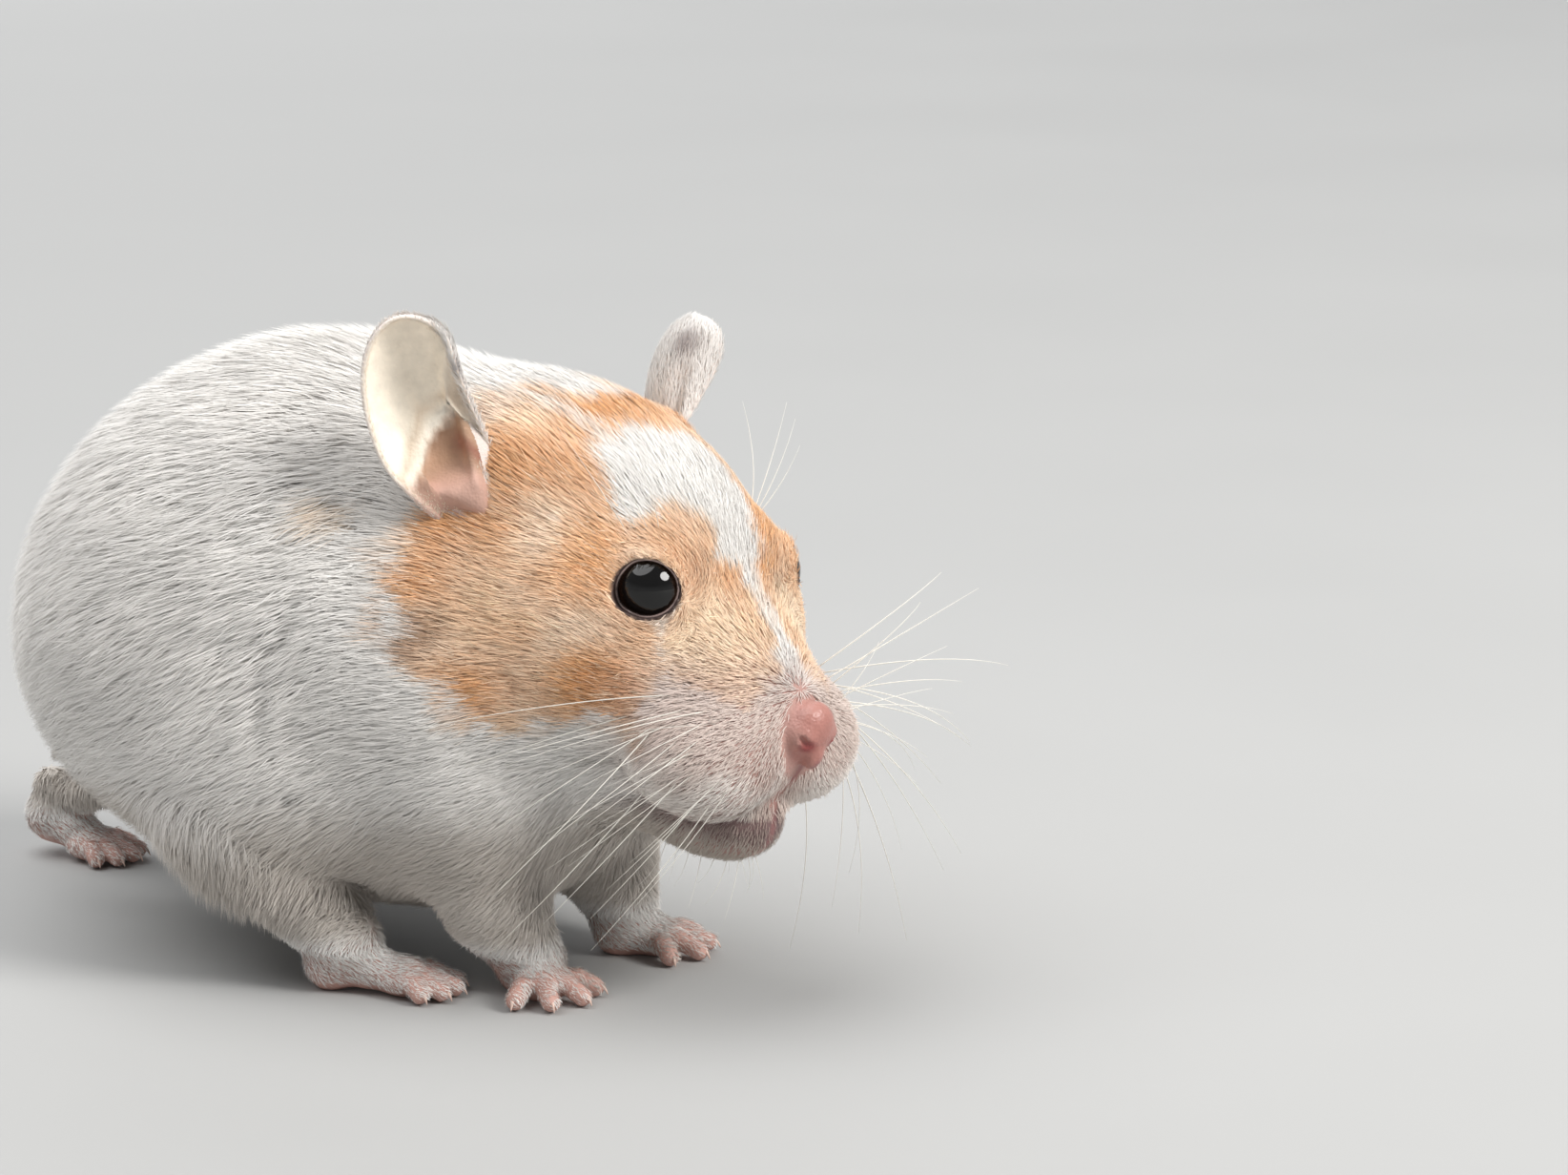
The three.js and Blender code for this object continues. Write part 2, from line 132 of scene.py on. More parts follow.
def limb(a, b, ra, rb, reach, home=WORLD, kind=ADD):
    """A round bar from a to b, tapered from radius ra to rb."""
    a, b = place(home, a), place(home, b)
    d = b - a
    size = d @ d
    wide = max(ra, rb)

    def value(x, y, z):
        px, py, pz = x - a[0], y - a[1], z - a[2]
        t = np.clip((px * d[0] + py * d[1] + pz * d[2]) / size, 0, 1)
        far = np.sqrt((px - t * d[0]) ** 2 + (py - t * d[1]) ** 2 + (pz - t * d[2]) ** 2)
        return far - (ra + (rb - ra) * t)

    return Shape(kind, np.minimum(a, b) - wide, np.maximum(a, b) + wide, value, reach)


def chain(rings, reach, home=WORLD, kind=ADD):
    """Limbs from ring to ring, each [x, y, z, radius]."""
    return [limb(p[:3], q[:3], p[3], q[3], reach, home, kind) for p, q in zip(rings, rings[1:])]


def blend(a, b, reach):
    """The lower of two distances, rounded where they are within reach of each other."""
    if not reach:
        return np.minimum(a, b)
    h = np.maximum(reach - np.abs(a - b), 0) / reach
    return np.minimum(a, b) - h * h * (reach / 4)


MASSES = [
    egg([0, -6.5, 34], [26, 29.5, 27], 0),  # back and flanks
    egg([0, 5.5, 30], [24, 20, 20], 10),  # rump
    egg([-0.5, -25, 28], [20.5, 19.5, 21], 10),  # chest and shoulders
    egg([0, -11, 19], [19.5, 23, 12.5], 8),  # belly
    egg([-15.5, -6.8, 21], [10, 11.5, 12.3], 8),  # right haunch
    egg([14.5, 5, 20], [10, 14, 13], 8),  # left haunch
    egg([0, 21, -4], [15.5, 15, 16], 9, home=HEAD),  # neck
    egg([0, 12, -2], [14, 16.5, 14], 6, home=HEAD),  # cranium
    *[egg([s * 9.6, 6.5, -9], [7.4, 12, 10.5], 6, home=HEAD) for s in SIDES],  # cheeks
    egg([0, -5.5, -9.2], [8.4, 11, 8.2], 7, (25, 0, 0), HEAD),  # muzzle
    *[egg([s * 6.8, -9.2, -13.2], [6.1, 7.1, 6.1], 3, (0, 0, -25 * s), HEAD) for s in SIDES],  # whisker pads
    *[egg([s * 4.6, 1.5, 2.2], [3.6, 4.5, 3.6], 3, home=HEAD) for s in SIDES],  # brows
    *[egg([s * 11, 17, 4.5], [4, 4.5, 5], 4, home=HEAD) for s in SIDES],  # ear roots
    egg([0, -7.7, -20.1], [5.2, 6.9, 4.8], 3, home=HEAD),  # lower jaw
    egg([0, 1.5, -18.6], [8.6, 10.5, 6.4], 4, home=HEAD),  # throat
]
LIMBS = [
    limb([-12, -28, 20], [-11, -30, 9], 7, 4.6, 5),
    limb([-11, -30, 9], [-9.2, -33, 3], 4.6, 3.3, 2),
    limb([10, -30, 20], [7.6, -32, 9], 7, 4.6, 5),
    limb([7.6, -32, 9], [6.2, -34.8, 3], 4.6, 3.3, 2),
    limb([-18, -5.5, 15], [-16.8, -17, 5], 6.8, 3.7, 4),
    limb([12, 17, 16], [10, 32, 8], 6.5, 3.6, 4),
]

EYE_R = 3.3
EYE_AT = {-1: np.array([-8.85, -0.7, 0.4]), 1: np.array([8.85, -0.3, -0.3])}  # in the head's frame
EYE_AXIS = {s: unit(np.array([s * 0.86, -0.46, 0.22])) for s in SIDES}
LID_WIDE = (2.95, 3.05)  # the opening's half widths, behind and in front of its middle
LID_HIGH = 2.68  # its half height
LID_AHEAD = 0.1  # how far its middle lies in front of the eye's
LID_OUTER, LID_INNER = 3.78, 3.05  # radii of the lids' outside and of the gap over the eyeball
CORNER_DROP = 0.35  # how low the front corner runs out
NOSE = np.array([0.0, -15.6, -9.0])


def eye_frame(s):
    """An eye's middle and its own axes: front, up and out."""
    axis = HEAD[1] @ EYE_AXIS[s]
    up = HEAD[1] @ np.array([0, 0.25, 1.0])
    up = unit(up - axis * (up @ axis))
    return place(HEAD, EYE_AT[s]), np.stack([np.cross(up, axis) * s, up, axis], 1)


def eye_distance(q):
    """How far points in the head's frame lie from the nearer eye's middle."""
    return np.min([np.linalg.norm(q - EYE_AT[s], axis=1) for s in SIDES], axis=0)


def lid_reach(points):
    """How far out from an eye's middle a point lies: 1 at the opening's edge, large away from the eyes."""
    made = np.full(len(points), 9.0)
    for s in SIDES:
        f, u, out = to_local(eye_frame(s), points).T
        wide = np.hypot((f - LID_AHEAD) / LID_WIDE[1], (u + 0.15) / LID_HIGH)
        made = np.where((out > 0) & (out < 7), np.minimum(made, wide), made)
    return made


def coat_depth(x, y, z):
    """How deep the coat lies over the skin at a point."""
    q = seen_from(HEAD, x, y, z)
    depth = np.interp(q[1], [-16, -10, -4, 4, 12, 20, 30], [0.15, 0.4, 0.6, 1.0, 1.5, 2.2, 3.1])
    jaw = smooth(-16.5, -19, q[2]) * smooth(2, -3, q[1])
    depth = depth * (1 - 0.6 * jaw)
    for s in SIDES:
        far = np.sqrt(sum((q[m] - EYE_AT[s][m]) ** 2 for m in range(3)))
        depth = depth * lerp(0.25, 1, smooth(3.4, 7.5, far))
    return depth * lerp(0.12, 1, smooth(2.5, 13, z))


# ---------------------------------------------------------------- details of the skin
def lid_shapes(s):
    """The lid ring that hugs an eyeball, and the opening cut through it."""
    centre, axes = eye_frame(s)
    room = 8  # the lids act this far from the eye's middle

    def seen(x, y, z):
        """Distance from the eye's middle, how far out of the head, and below 0 within the almond opening."""
        f, u, out = seen_from((centre, axes), x, y, z)
        far = np.sqrt((x - centre[0]) ** 2 + (y - centre[1]) ** 2 + (z - centre[2]) ** 2)
        f = f - LID_AHEAD
        wide = np.where(f > 0, LID_WIDE[1], LID_WIDE[0])
        corner = CORNER_DROP * smooth(1.2, 3.2, f)
        return far, out, (np.sqrt((f / wide) ** 2 + ((u + corner) / LID_HIGH) ** 2) - 1) * LID_HIGH

    def lid(x, y, z):
        far, out, opening = seen(x, y, z)
        return np.maximum(np.maximum(far - LID_OUTER, -opening), -out)

    def gap(x, y, z):
        far, out, opening = seen(x, y, z)
        return np.maximum(np.maximum(LID_INNER - far, opening), np.maximum(-out, far - room))

    return [
        Shape(ADD, centre - room, centre + room, lid, 1.1),
        Shape(CUT, centre - room, centre + room, gap, 0.12),
    ]


def face_shapes():
    """Nose, nostrils, split of the lip, mouth line and lids."""
    made = [egg([0, -15.5, -9.0], [2.55, 2.15, 2.9], 0.9, (12, 0, 0), HEAD)]  # nose pad
    made += [egg([s * 1.75, -15.9, -9.2], [1.15, 1.45, 1.3], 0.6, home=HEAD) for s in SIDES]  # its wings
    made.append(egg([0, -16.7, -11.1], [0.95, 1.0, 1.4], 0.6, home=HEAD))  # between the nostrils
    for s in SIDES:
        nostril = [[s * 0.95, -17.95, -10.3, 0.36], [s * 1.7, -17.55, -9.9, 0.42],
                   [s * 2.5, -16.7, -9.0, 0.26]]
        made += chain(nostril, 0.2, HEAD, CUT)
    lip_split = [[0, -18.2, -11.6, 0.2], [0, -17.6, -13.6, 0.4], [0, -16.2, -17.8, 0.7]]
    made += chain(lip_split, 1.2, HEAD, CUT)
    for s in SIDES:
        mouth = [[0, -15.2, -18.0, 0.3], [s * 3.4, -13.6, -18.8, 0.3], [s * 5.6, -9.4, -19.3, 0.3],
                 [s * 6.8, -4.8, -19.1, 0.15]]
        made += chain(mouth, 0.5, HEAD, CUT)
        made += lid_shapes(s)
    return made


# at: the heel; turn: degrees from straight ahead, + to its left; long: heel to ball;
# heel, top: heights at the back
FEET = {
    "forepaw_right": dict(at=[-9.1, -32.2], turn=-30, long=3.6, heel=2.6, top=3.8),
    "forepaw_left": dict(at=[6.1, -34.6], turn=14, long=3.6, heel=2.6, top=3.8),
    "hindfoot_right": dict(at=[-17.1, -15.8], turn=12, long=7.2, heel=2.8, top=4.3),
    "hindfoot_left": dict(at=[9.8, 35.8], turn=2, long=4.6, heel=4.4, top=6.3),
}
# reach: each digit's length; fan: its angle in degrees; wide: half the width of the ball of the foot
DIGITS = {
    "fore": dict(reach=[3.7, 4.6, 4.6, 3.8], fan=[-50, -16, 14, 46], wide=3.4),
    "hind": dict(reach=[3.4, 4.5, 4.9, 4.6, 3.4], fan=[-38, -18, 0, 18, 40], wide=3.3),
}


def foot_home(foot):
    return CENTRE + np.array([*foot["at"], 0.0]), turn(2, foot["turn"])


def digit_rays(name):
    """Each digit's root, direction and length on its foot."""
    foot, digits = FEET[name], DIGITS[name[:4]]
    for length, angle in zip(digits["reach"], digits["fan"]):
        a = math.radians(angle)
        ahead = np.array([math.sin(a), -math.cos(a)])
        root = np.array([math.sin(a) * digits["wide"] * 0.75, -foot["long"] + 0.6 - math.cos(a) * 1.2])
        yield root, ahead, length


def foot_shapes(name):
    """Sole, ball, ankle and digits of one foot."""
    foot = FEET[name]
    home = foot_home(foot)
    long, heel, top = foot["long"], foot["heel"], foot["top"]
    wide = DIGITS[name[:4]]["wide"]
    sole = [[0, 1.3, heel, 1.0], [0, 0.5, heel - 0.2, 1.85], [0, -long * 0.5, (heel + 2) / 2, 1.95],
            [0, -long - 0.4, 1.6, 1.8]]
    made = chain(sole, 1.0, home)
    made.append(egg([0, -long, 1.6], [wide - 0.35, 2.5, 1.65], 0.8, home=home))  # ball of the foot
    made.append(limb([0, 0.3, heel - 0.8], [0, 0.1, top + 1.5], 1.9, 1.6, 2.0, home))  # ankle
    for root, ahead, length in digit_rays(name):
        knuckle = root + ahead * length * 0.4
        joint = root + ahead * length * 0.7
        tip = root + ahead * (length - 0.55)
        digit = [[*root, 1.75, 0.95], [*knuckle, 1.75, 0.92], [*joint, 1.3, 0.85], [*tip, 1.0, 0.9]]
        made += chain(digit, 0.35, home)
    return made


TAIL = [
    [0, 20, 21.5, 1.5],
    [0, 24, 20, 1.3],
    [0, 26.2, 17.6, 1.05],
    [0, 27.1, 15.8, 0.8],
    [0, 27.4, 14.4, 0.45],
    [0, 27.4, 13.9, 0.25],
]
COAT_SHAPES = MASSES + LIMBS
SKIN_SHAPES = face_shapes() + chain(TAIL, 0.8) + [shape for name in FEET for shape in foot_shapes(name)]
FLOOR_GAP = 0.03  # the soles' flats lie this far over z = 0


def box_of(shape):
    """Corners of the box in which a shape counts."""
    return shape.low - (NEAR + shape.reach), shape.high + (NEAR + shape.reach)


def applied(values, shape, x, y, z):
    """The field's values with one more shape added or cut away."""
    made = shape.value(x, y, z)
    return blend(values, made, shape.reach) if shape.kind == ADD else -blend(-values, made, shape.reach)


def field_at(points, details=True):
    """The skin's field at each point, with or without the details that lie on the plain skin."""
    x, y, z = (np.ascontiguousarray(c) for c in np.asarray(points, np.float32).T)
    values = np.full(len(x), FAR, np.float32)

    def stamp(shapes):
        for shape in shapes:
            low, high = box_of(shape)
            near = (x > low[0]) & (x < high[0]) & (y > low[1]) & (y < high[1]) & (z > low[2]) & (z < high[2])
            n = np.nonzero(near)[0]
            if len(n):
                values[n] = applied(values[n], shape, x[n], y[n], z[n])

    stamp(COAT_SHAPES)
    values += coat_depth(x, y, z).astype(np.float32)
    if details:
        stamp(SKIN_SHAPES)
    return np.maximum(values, FLOOR_GAP - z)


def field_on_grid(xs, ys, zs):
    """The skin's field at every point of a grid with these axes."""
    axes = [np.asarray(a, np.float32) for a in (xs, ys, zs)]
    values = np.full([len(a) for a in axes], FAR, np.float32)
    x, y, z = axes[0][:, None, None], axes[1][None, :, None], axes[2][None, None, :]

    def stamp(shapes):
        for shape in shapes:
            i, j, k = (slice(*np.searchsorted(a, ends)) for a, ends in zip(axes, zip(*box_of(shape))))
            values[i, j, k] = applied(values[i, j, k], shape, x[i], y[:, j], z[:, :, k])

    stamp(COAT_SHAPES)
    for n in range(0, len(xs), 16):  # in slabs, to save memory
        values[n:n + 16] += coat_depth(x[n:n + 16], y, z).astype(np.float32)
    stamp(SKIN_SHAPES)
    return np.maximum(values, FLOOR_GAP - z)


def surface_net(values, xs, ys, zs):
    """One vertex in each grid cell that the surface crosses, and a quad round each crossed grid edge."""
    axes = [np.asarray(a, float) for a in (xs, ys, zs)]
    inside = values < 0
    count = sum(inside[i:i - 1 or None, j:j - 1 or None, k:k - 1 or None].astype(np.uint8)
                for i, j, k in np.ndindex(2, 2, 2))
    active = (count > 0) & (count < 8)
    ids = np.full(active.shape, -1, np.int32)
    cells = np.nonzero(active)
    ids[cells] = np.arange(len(cells[0]))
    total, hits = np.zeros((len(cells[0]), 3)), np.zeros(len(cells[0]))
    for axis in range(3):
        for corner in range(8):
            a = [corner & 1, corner >> 1 & 1, corner >> 2 & 1]
            if a[axis]:
                continue
            b = list(a)
            b[axis] = 1
            ia, ib = (tuple(cells[m] + c[m] for m in range(3)) for c in (a, b))
            fa, fb = values[ia], values[ib]
            crossed = (fa < 0) != (fb < 0)
            t = np.where(crossed, fa / np.where(crossed, fa - fb, 1), 0)
            for m in range(3):
                place_m = axes[m][ia[m]] + t * (axes[m][ib[m]] - axes[m][ia[m]])
                total[:, m] += np.where(crossed, place_m, 0)
            hits += crossed
    quads = []
    for axis in range(3):
        u, v = (axis + 1) % 3, (axis + 2) % 3
        first, second = [slice(1, None)] * 3, [slice(1, None)] * 3
        first[axis] = slice(0, -1)
        start, end = inside[tuple(first)], inside[tuple(second)]
        at = list(np.nonzero(start != end))
        was_inside = start[tuple(at)]
        for m in range(3):
            at[m] = at[m] + (0 if m == axis else 1)
        ring = []
        for du, dv in ((0, 0), (1, 0), (1, 1), (0, 1)):
            c = list(at)
            c[u], c[v] = c[u] - du, c[v] - dv
            ring.append(ids[tuple(np.clip(c[m], 0, ids.shape[m] - 1) for m in range(3))])
        ring = np.stack(ring, 1)
        ring[~was_inside] = ring[~was_inside][:, ::-1]
        quads.append(ring[(ring >= 0).all(1)])
    return total / hits[:, None], np.concatenate(quads)


def gradient(fn, points, step=0.04):
    """The slope of a function of the points, which it does not scale to 1."""
    made = [fn(points + step * e) - fn(points - step * e) for e in np.eye(3)]
    return np.stack(made, 1) / (2 * step)


def settled(points, limit):
    """Points moved along the field's slope onto the skin."""
    start = points
    for _ in range(2):
        slope = gradient(field_at, points)
        move = field_at(points)[:, None] * slope / np.maximum((slope ** 2).sum(1, keepdims=True), 0.15)
        points = points - np.clip(move, -limit, limit)
    return np.where(np.linalg.norm(points - start, axis=1, keepdims=True) < 2 * limit, points, start)


def lines(*spans):
    """Grid lines: a start, then (end, spacing) for each span."""
    made = [spans[0]]
    for end, spacing in spans[1:]:
        n = max(1, round((end - made[-1]) / spacing))
        made += list(made[-1] + (end - made[-1]) * np.arange(1, n + 1) / n)
    return np.array(made)


# ---------------------------------------------------------------- noise and colours
def value_noise(points, size, seed):
    """Smooth noise, mostly from -1 to 1, with blobs of about that size in mm."""
    period = 32
    lattice = np.random.default_rng(seed).uniform(-1, 1, (period, period, period))
    q = np.asarray(points) / size + 100.0
    cell = np.floor(q).astype(int)
    total = 0
    for corner, weight in cube_corners(smooth(0, 1, q - cell)):
        i, j, k = ((cell + corner) % period).T
        total = total + weight * lattice[i, j, k]
    return total * 1.6


def srgb(r, g, b):
    """Blender's linear colour from values of 0 to 255."""
    c = np.array([r, g, b]) / 255
    return np.where(c <= 0.04045, c / 12.92, ((c + 0.055) / 1.055) ** 2.4)


def blob(q, centre, radii):
    """1 at the middle of an ellipsoid, 0 at its edge, below 0 outside."""
    return 1 - np.sqrt((((q - np.array(centre)) / np.array(radii)) ** 2).sum(1))


def mix(colours, other, weight):
    return colours + (np.asarray(other) - colours) * np.clip(weight, 0, 1)[:, None]


def painted(colours, *layers):
    """Colours with layers on them in this order, each an sRGB colour and its weight at each point."""
    for colour, weight in layers:
        colours = mix(colours, srgb(*colour), weight)
    return colours


# ---------------------------------------------------------------- markings
WHITE = srgb(240, 237, 233)
GINGER = srgb(248, 214, 180)
DEEP = srgb(230, 174, 122)
PALE = srgb(250, 226, 198)
BROWN = srgb(150, 106, 74)
LIP_HAIR, CHIN_HAIR = srgb(140, 118, 112), srgb(204, 196, 188)
EYE_LINE = (60, 44, 40)

# Places on the head are in its own frame, and x is outwards where both sides are alike.
MASK = [  # centre and radii of what is ginger
    ([15, 5.5, -4.5], [10.5, 16, 11.5]),  # temple and cheek
    ([9, 12, 8], [8, 13, 9]),  # forehead up to the ear
    ([5, -7, -2], [6, 9, 7]),  # side of the bridge
    ([7.5, 0, 4], [6.5, 10, 6.5]),  # brow
    ([2.5, 9.5, 12], [6, 4.5, 5]),  # band behind the blaze
]
MASK_PATCHES = [  # colour, strength, gain on the mask's amount, raggedness, edge and full part, centre, radii
    (DEEP, 1.0, 1.0, 0.0, (0, 0.6), [13.6, -2.8, -8.4], [5.5, 6, 4.2]),  # under the eye
    (srgb(206, 144, 90), 0.7, 1.0, 0.0, (0, 0.6), [13.4, -3.6, -8.2], [4.0, 3.8, 3.0]),  # the middle of that
    (DEEP, 0.8, 1.0, 0.0, (0, 0.7), [13, 13, 7], [5, 6, 5]),  # in front of the ear
    (BROWN, 0.72, 1.5, 0.15, (0.05, 0.45), [23.5, 12.4, -8.8], [6.5, 6, 5.2]),  # the cheek's back rim
    (BROWN, 0.75, 1.5, 0.15, (0.05, 0.5), [21.5, 6.4, -11.6], [4.6, 4, 3.2]),  # its lower rim
    (PALE, 0.75, 1.0, 0.0, (0, 0.5), [6.5, -7, -2.5], [5, 5, 5]),  # side of the bridge
]
BLAZE = [  # corners of the white blaze between the eyes
    (-6.6, 8.8), (-8.6, 5.4), (-9.0, 2.4), (-5.0, -0.6),
    (-0.6, -2.8), (2.4, -3.6), (4.4, 0.6), (4.1, 5.6),
]
BRIDGE = [-14, -12, -10, -8, -6, -3], [1.0, 1.15, 0.55, 1.1, 0.7, 1.2]  # the white bridge: y, half its width


def inside_outline(x, y, corners):
    """Distance inside a convex outline on the head, whose corners run anticlockwise; below 0 outside."""
    corners = np.array(corners)
    made = np.full(len(x), np.inf)
    for (ax, ay), (bx, by) in zip(corners, np.roll(corners, -1, axis=0)):
        size = math.hypot(bx - ax, by - ay)
        made = np.minimum(made, ((bx - ax) * (y - ay) - (by - ay) * (x - ax)) / size)
    return made


def ginger_amount(points, q):
    """How ginger the coat is, from 0 on the white parts to 1."""
    ragged = 0.10 * value_noise(points, 2.6, 1) + 0.08 * value_noise(points, 1.1, 2)
    x, y, z = q.T
    inked = np.full(len(q), -1.0)
    for s in SIDES:
        for centre, radii in MASK:
            inked = np.maximum(inked, blob(q, [s * centre[0], *centre[1:]], radii))
    amount = smooth(0.0, 0.24, inked + ragged)
    above = smooth(-1, 2, z)
    blaze = smooth(-0.7, 0.8, inside_outline(x, y, BLAZE) + 7 * ragged) * above
    bridge = smooth(0.5, -0.5, np.abs(x - 0.1 * (y + 14)) - np.interp(y, *BRIDGE) + 3 * ragged)
    bridge = 0.75 * bridge * smooth(-2.2, -3.4, y)
    middle = -5.4 - 0.05 * (y - 9)
    streak = smooth(1.0, 0.3, np.abs(x - middle) + 3 * ragged) * smooth(7.5, 9.0, y) * above * 0.8
    crown = 0.42 * smooth(13.4, 15.2, y + 8 * ragged) * smooth(-5.0, -3.2, x) * smooth(9.5, 7.5, x) * above
    back = smooth(20, 23, y + 10 * ragged) * above
    return amount * (1 - np.clip(blaze + bridge + streak + crown + back, 0, 1))


def painted_underside_shade(points):
    """1 low on the throat, chest and belly, where the coat's colour is darkened as painted shade; 0 over them
    and on the feet.
    """
    return smooth(27, 12, points[:, 2]) * smooth(4, 8, points[:, 2])


def coat_colour(points):
    """The coat's colour where a hair is rooted."""
    q = to_local(HEAD, points)
    x, y, z = q.T
    made = np.tile(WHITE, (len(points), 1))
    amount = ginger_amount(points, q)
    tone = value_noise(points, 3.4, 5)
    made = mix(made, GINGER, amount * (0.86 + 0.12 * tone))
    made = mix(made, DEEP, amount * np.clip(0.25 + 0.5 * value_noise(points, 4.5, 6), 0, 1))
    for s in SIDES:
        for colour, strength, gain, ragged, (edge, full), centre, radii in MASK_PATCHES:
            near = smooth(edge, full, blob(q, [s * centre[0], *centre[1:]], radii) + ragged * tone)
            made = mix(made, colour, np.minimum(gain * amount, 1) * strength * near)
    for s in SIDES:  # pale hair at the front of each ear's root
        near = smooth(0, 0.5, blob(q, [s * 9.5, 20.5, 11], [4.5, 6, 5]) + 0.2 * tone)
        made = mix(made, srgb(240, 226, 212), near)
    lips = smooth(-17.6, -18.6, z + 0.08 * (y + 16)) * smooth(3, -4, y)
    chin = mix(np.tile(LIP_HAIR, (len(q), 1)), CHIN_HAIR, smooth(-19.6, -22.0, z))
    made = mix(made, chin, 0.85 * lips * smooth(9.5, 6.5, np.abs(x)))
    pads = smooth(-0.5, -8, y) * smooth(-3, -7, z) * smooth(-19.4, -18, z)
    made = mix(made, srgb(208, 184, 172), 0.7 * pads)
    beside = smooth(1.6, 4.0, np.abs(x)) * smooth(-19.2, -17.6, z)
    made = mix(made, srgb(246, 240, 234), 0.8 * pads * beside * smooth(-11.0, -14.5, z + 1.6 * tone))
    # painted shade: the coat low on the throat, chest and belly is darkened, the blue most
    under = smooth(0.15, 0.9, painted_underside_shade(points))
    made = made * (1 - under[:, None] * np.array([0.24, 0.28, 0.32]))
    fleck = blob(points, [-20.0, -8.4, 47.2], [5.5, 4.2, 2.6]) + 0.2 * value_noise(points, 1.5, 8)
    return mix(made, PALE, 0.8 * smooth(0, 0.5, fleck))


def nose_pad(q):
    """Above 0 on the bare pad of the nose."""
    return blob(q, NOSE + [0, -0.2, -0.3], [3.3, 3.2, 3.9])


def skin_colour(points):
    """The coat's markings where hair covers the skin, bare colours on nose, lips, lids and feet."""
    q = to_local(HEAD, points)
    x, y, z = q.T
    lips = smooth(-17.0, -18.2, z + 0.08 * (y + 16)) * smooth(3, -2, y)
    made = painted(
        coat_colour(points) * 0.96,
        ((176, 130, 120), 0.85 * smooth(1, -9, y) * smooth(-1, -5, z)),  # muzzle: pink skin, darkened as painted shade between the hairs
        ((116, 92, 90), lips * smooth(8.5, 6, np.abs(x)) * smooth(-23, -20.5, z)),
        ((178, 122, 112), smooth(0.0, 0.3, nose_pad(q))),
    )
    for s in SIDES:
        nostril = blob(q, [s * 1.8, -17.2, -9.9], [1.5, 1.2, 1.1])
        corner = blob(to_local(eye_frame(s), points), [3.6, -0.8, 1.6], [0.9, 0.35, 2.0])
        made = painted(
            made,
            ((140, 62, 60), 0.95 * smooth(0, 0.75, nostril)),
            (EYE_LINE, 0.6 * smooth(0, 0.5, corner)),
        )
    split = smooth(0.6, 0.15, np.abs(x)) * smooth(-10.8, -11.6, z) * smooth(-13, -15.5, y)
    wide = lid_reach(points)
    tail = blob(points, CENTRE + [0, 26.5, 16], [3.4, 3.4, 7])
    return painted(
        made,
        ((150, 92, 90), 0.75 * split),
        ((140, 104, 84), 0.6 * smooth(1.2, 1.1, wide)),
        (EYE_LINE, smooth(1.1, 1.05, wide)),
        ((200, 158, 146), smooth(7.5, 4.0, points[:, 2])),  # feet
        ((226, 190, 180), smooth(0, 0.1, tail)),
    )


# ---------------------------------------------------------------- meshes
def make_mesh(name, vertices, quads=None, tris=None, colours=None, uv=None, **extras):
    """An object from arrays. Vertices are in mm; uv is one pair per face corner, quads before tris."""
    groups = [np.asarray(g, np.int32) for g in (quads, tris) if g is not None and len(g)]
    mesh = bpy.data.meshes.new(name)
    mesh.vertices.add(len(vertices))
    mesh.vertices.foreach_set("co", (np.asarray(vertices) * MM).astype(np.float32).ravel())
    corners = np.concatenate([g.ravel() for g in groups])
    mesh.loops.add(len(corners))
    mesh.loops.foreach_set("vertex_index", corners)
    sizes = np.concatenate([np.full(len(g), g.shape[1], np.int32) for g in groups])
    mesh.polygons.add(len(sizes))
    mesh.polygons.foreach_set("loop_start", np.concatenate([[0], np.cumsum(sizes)[:-1]]).astype(np.int32))
    mesh.update(calc_edges=True)
    mesh.polygons.foreach_set("use_smooth", np.ones(len(sizes), bool))
    if colours is not None:
        tint = mesh.color_attributes.new("tint", "FLOAT_COLOR", "POINT")
        with_alpha = np.column_stack([colours, np.ones(len(colours))])
        tint.data.foreach_set("color", with_alpha.astype(np.float32).ravel())
    for label, values in extras.items():
        layer = mesh.attributes.new(label, "FLOAT", "POINT")
        layer.data.foreach_set("value", np.asarray(values, np.float32))
    if uv is not None:
        layer = mesh.uv_layers.new(name="OFBake")
        layer.uv.foreach_set("vector", np.asarray(uv, np.float32).ravel())
    made = bpy.data.objects.new(name, mesh)
    bpy.context.scene.collection.objects.link(made)
    return made


def dressed(piece, material, slot_name):
    """The piece with its material, on the body; slot_name is not used."""
    piece.data.materials.append(material)
    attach(piece, "root")
    return piece


def vertex_normals(vertices, quads):
    a, b = vertices[quads[:, 2]] - vertices[quads[:, 0]], vertices[quads[:, 3]] - vertices[quads[:, 1]]
    flat = np.cross(a, b)
    total = np.zeros_like(vertices)
    for m in range(4):
        for c in range(3):
            total[:, c] += np.bincount(quads[:, m], flat[:, c], len(vertices))
    return unit(total)


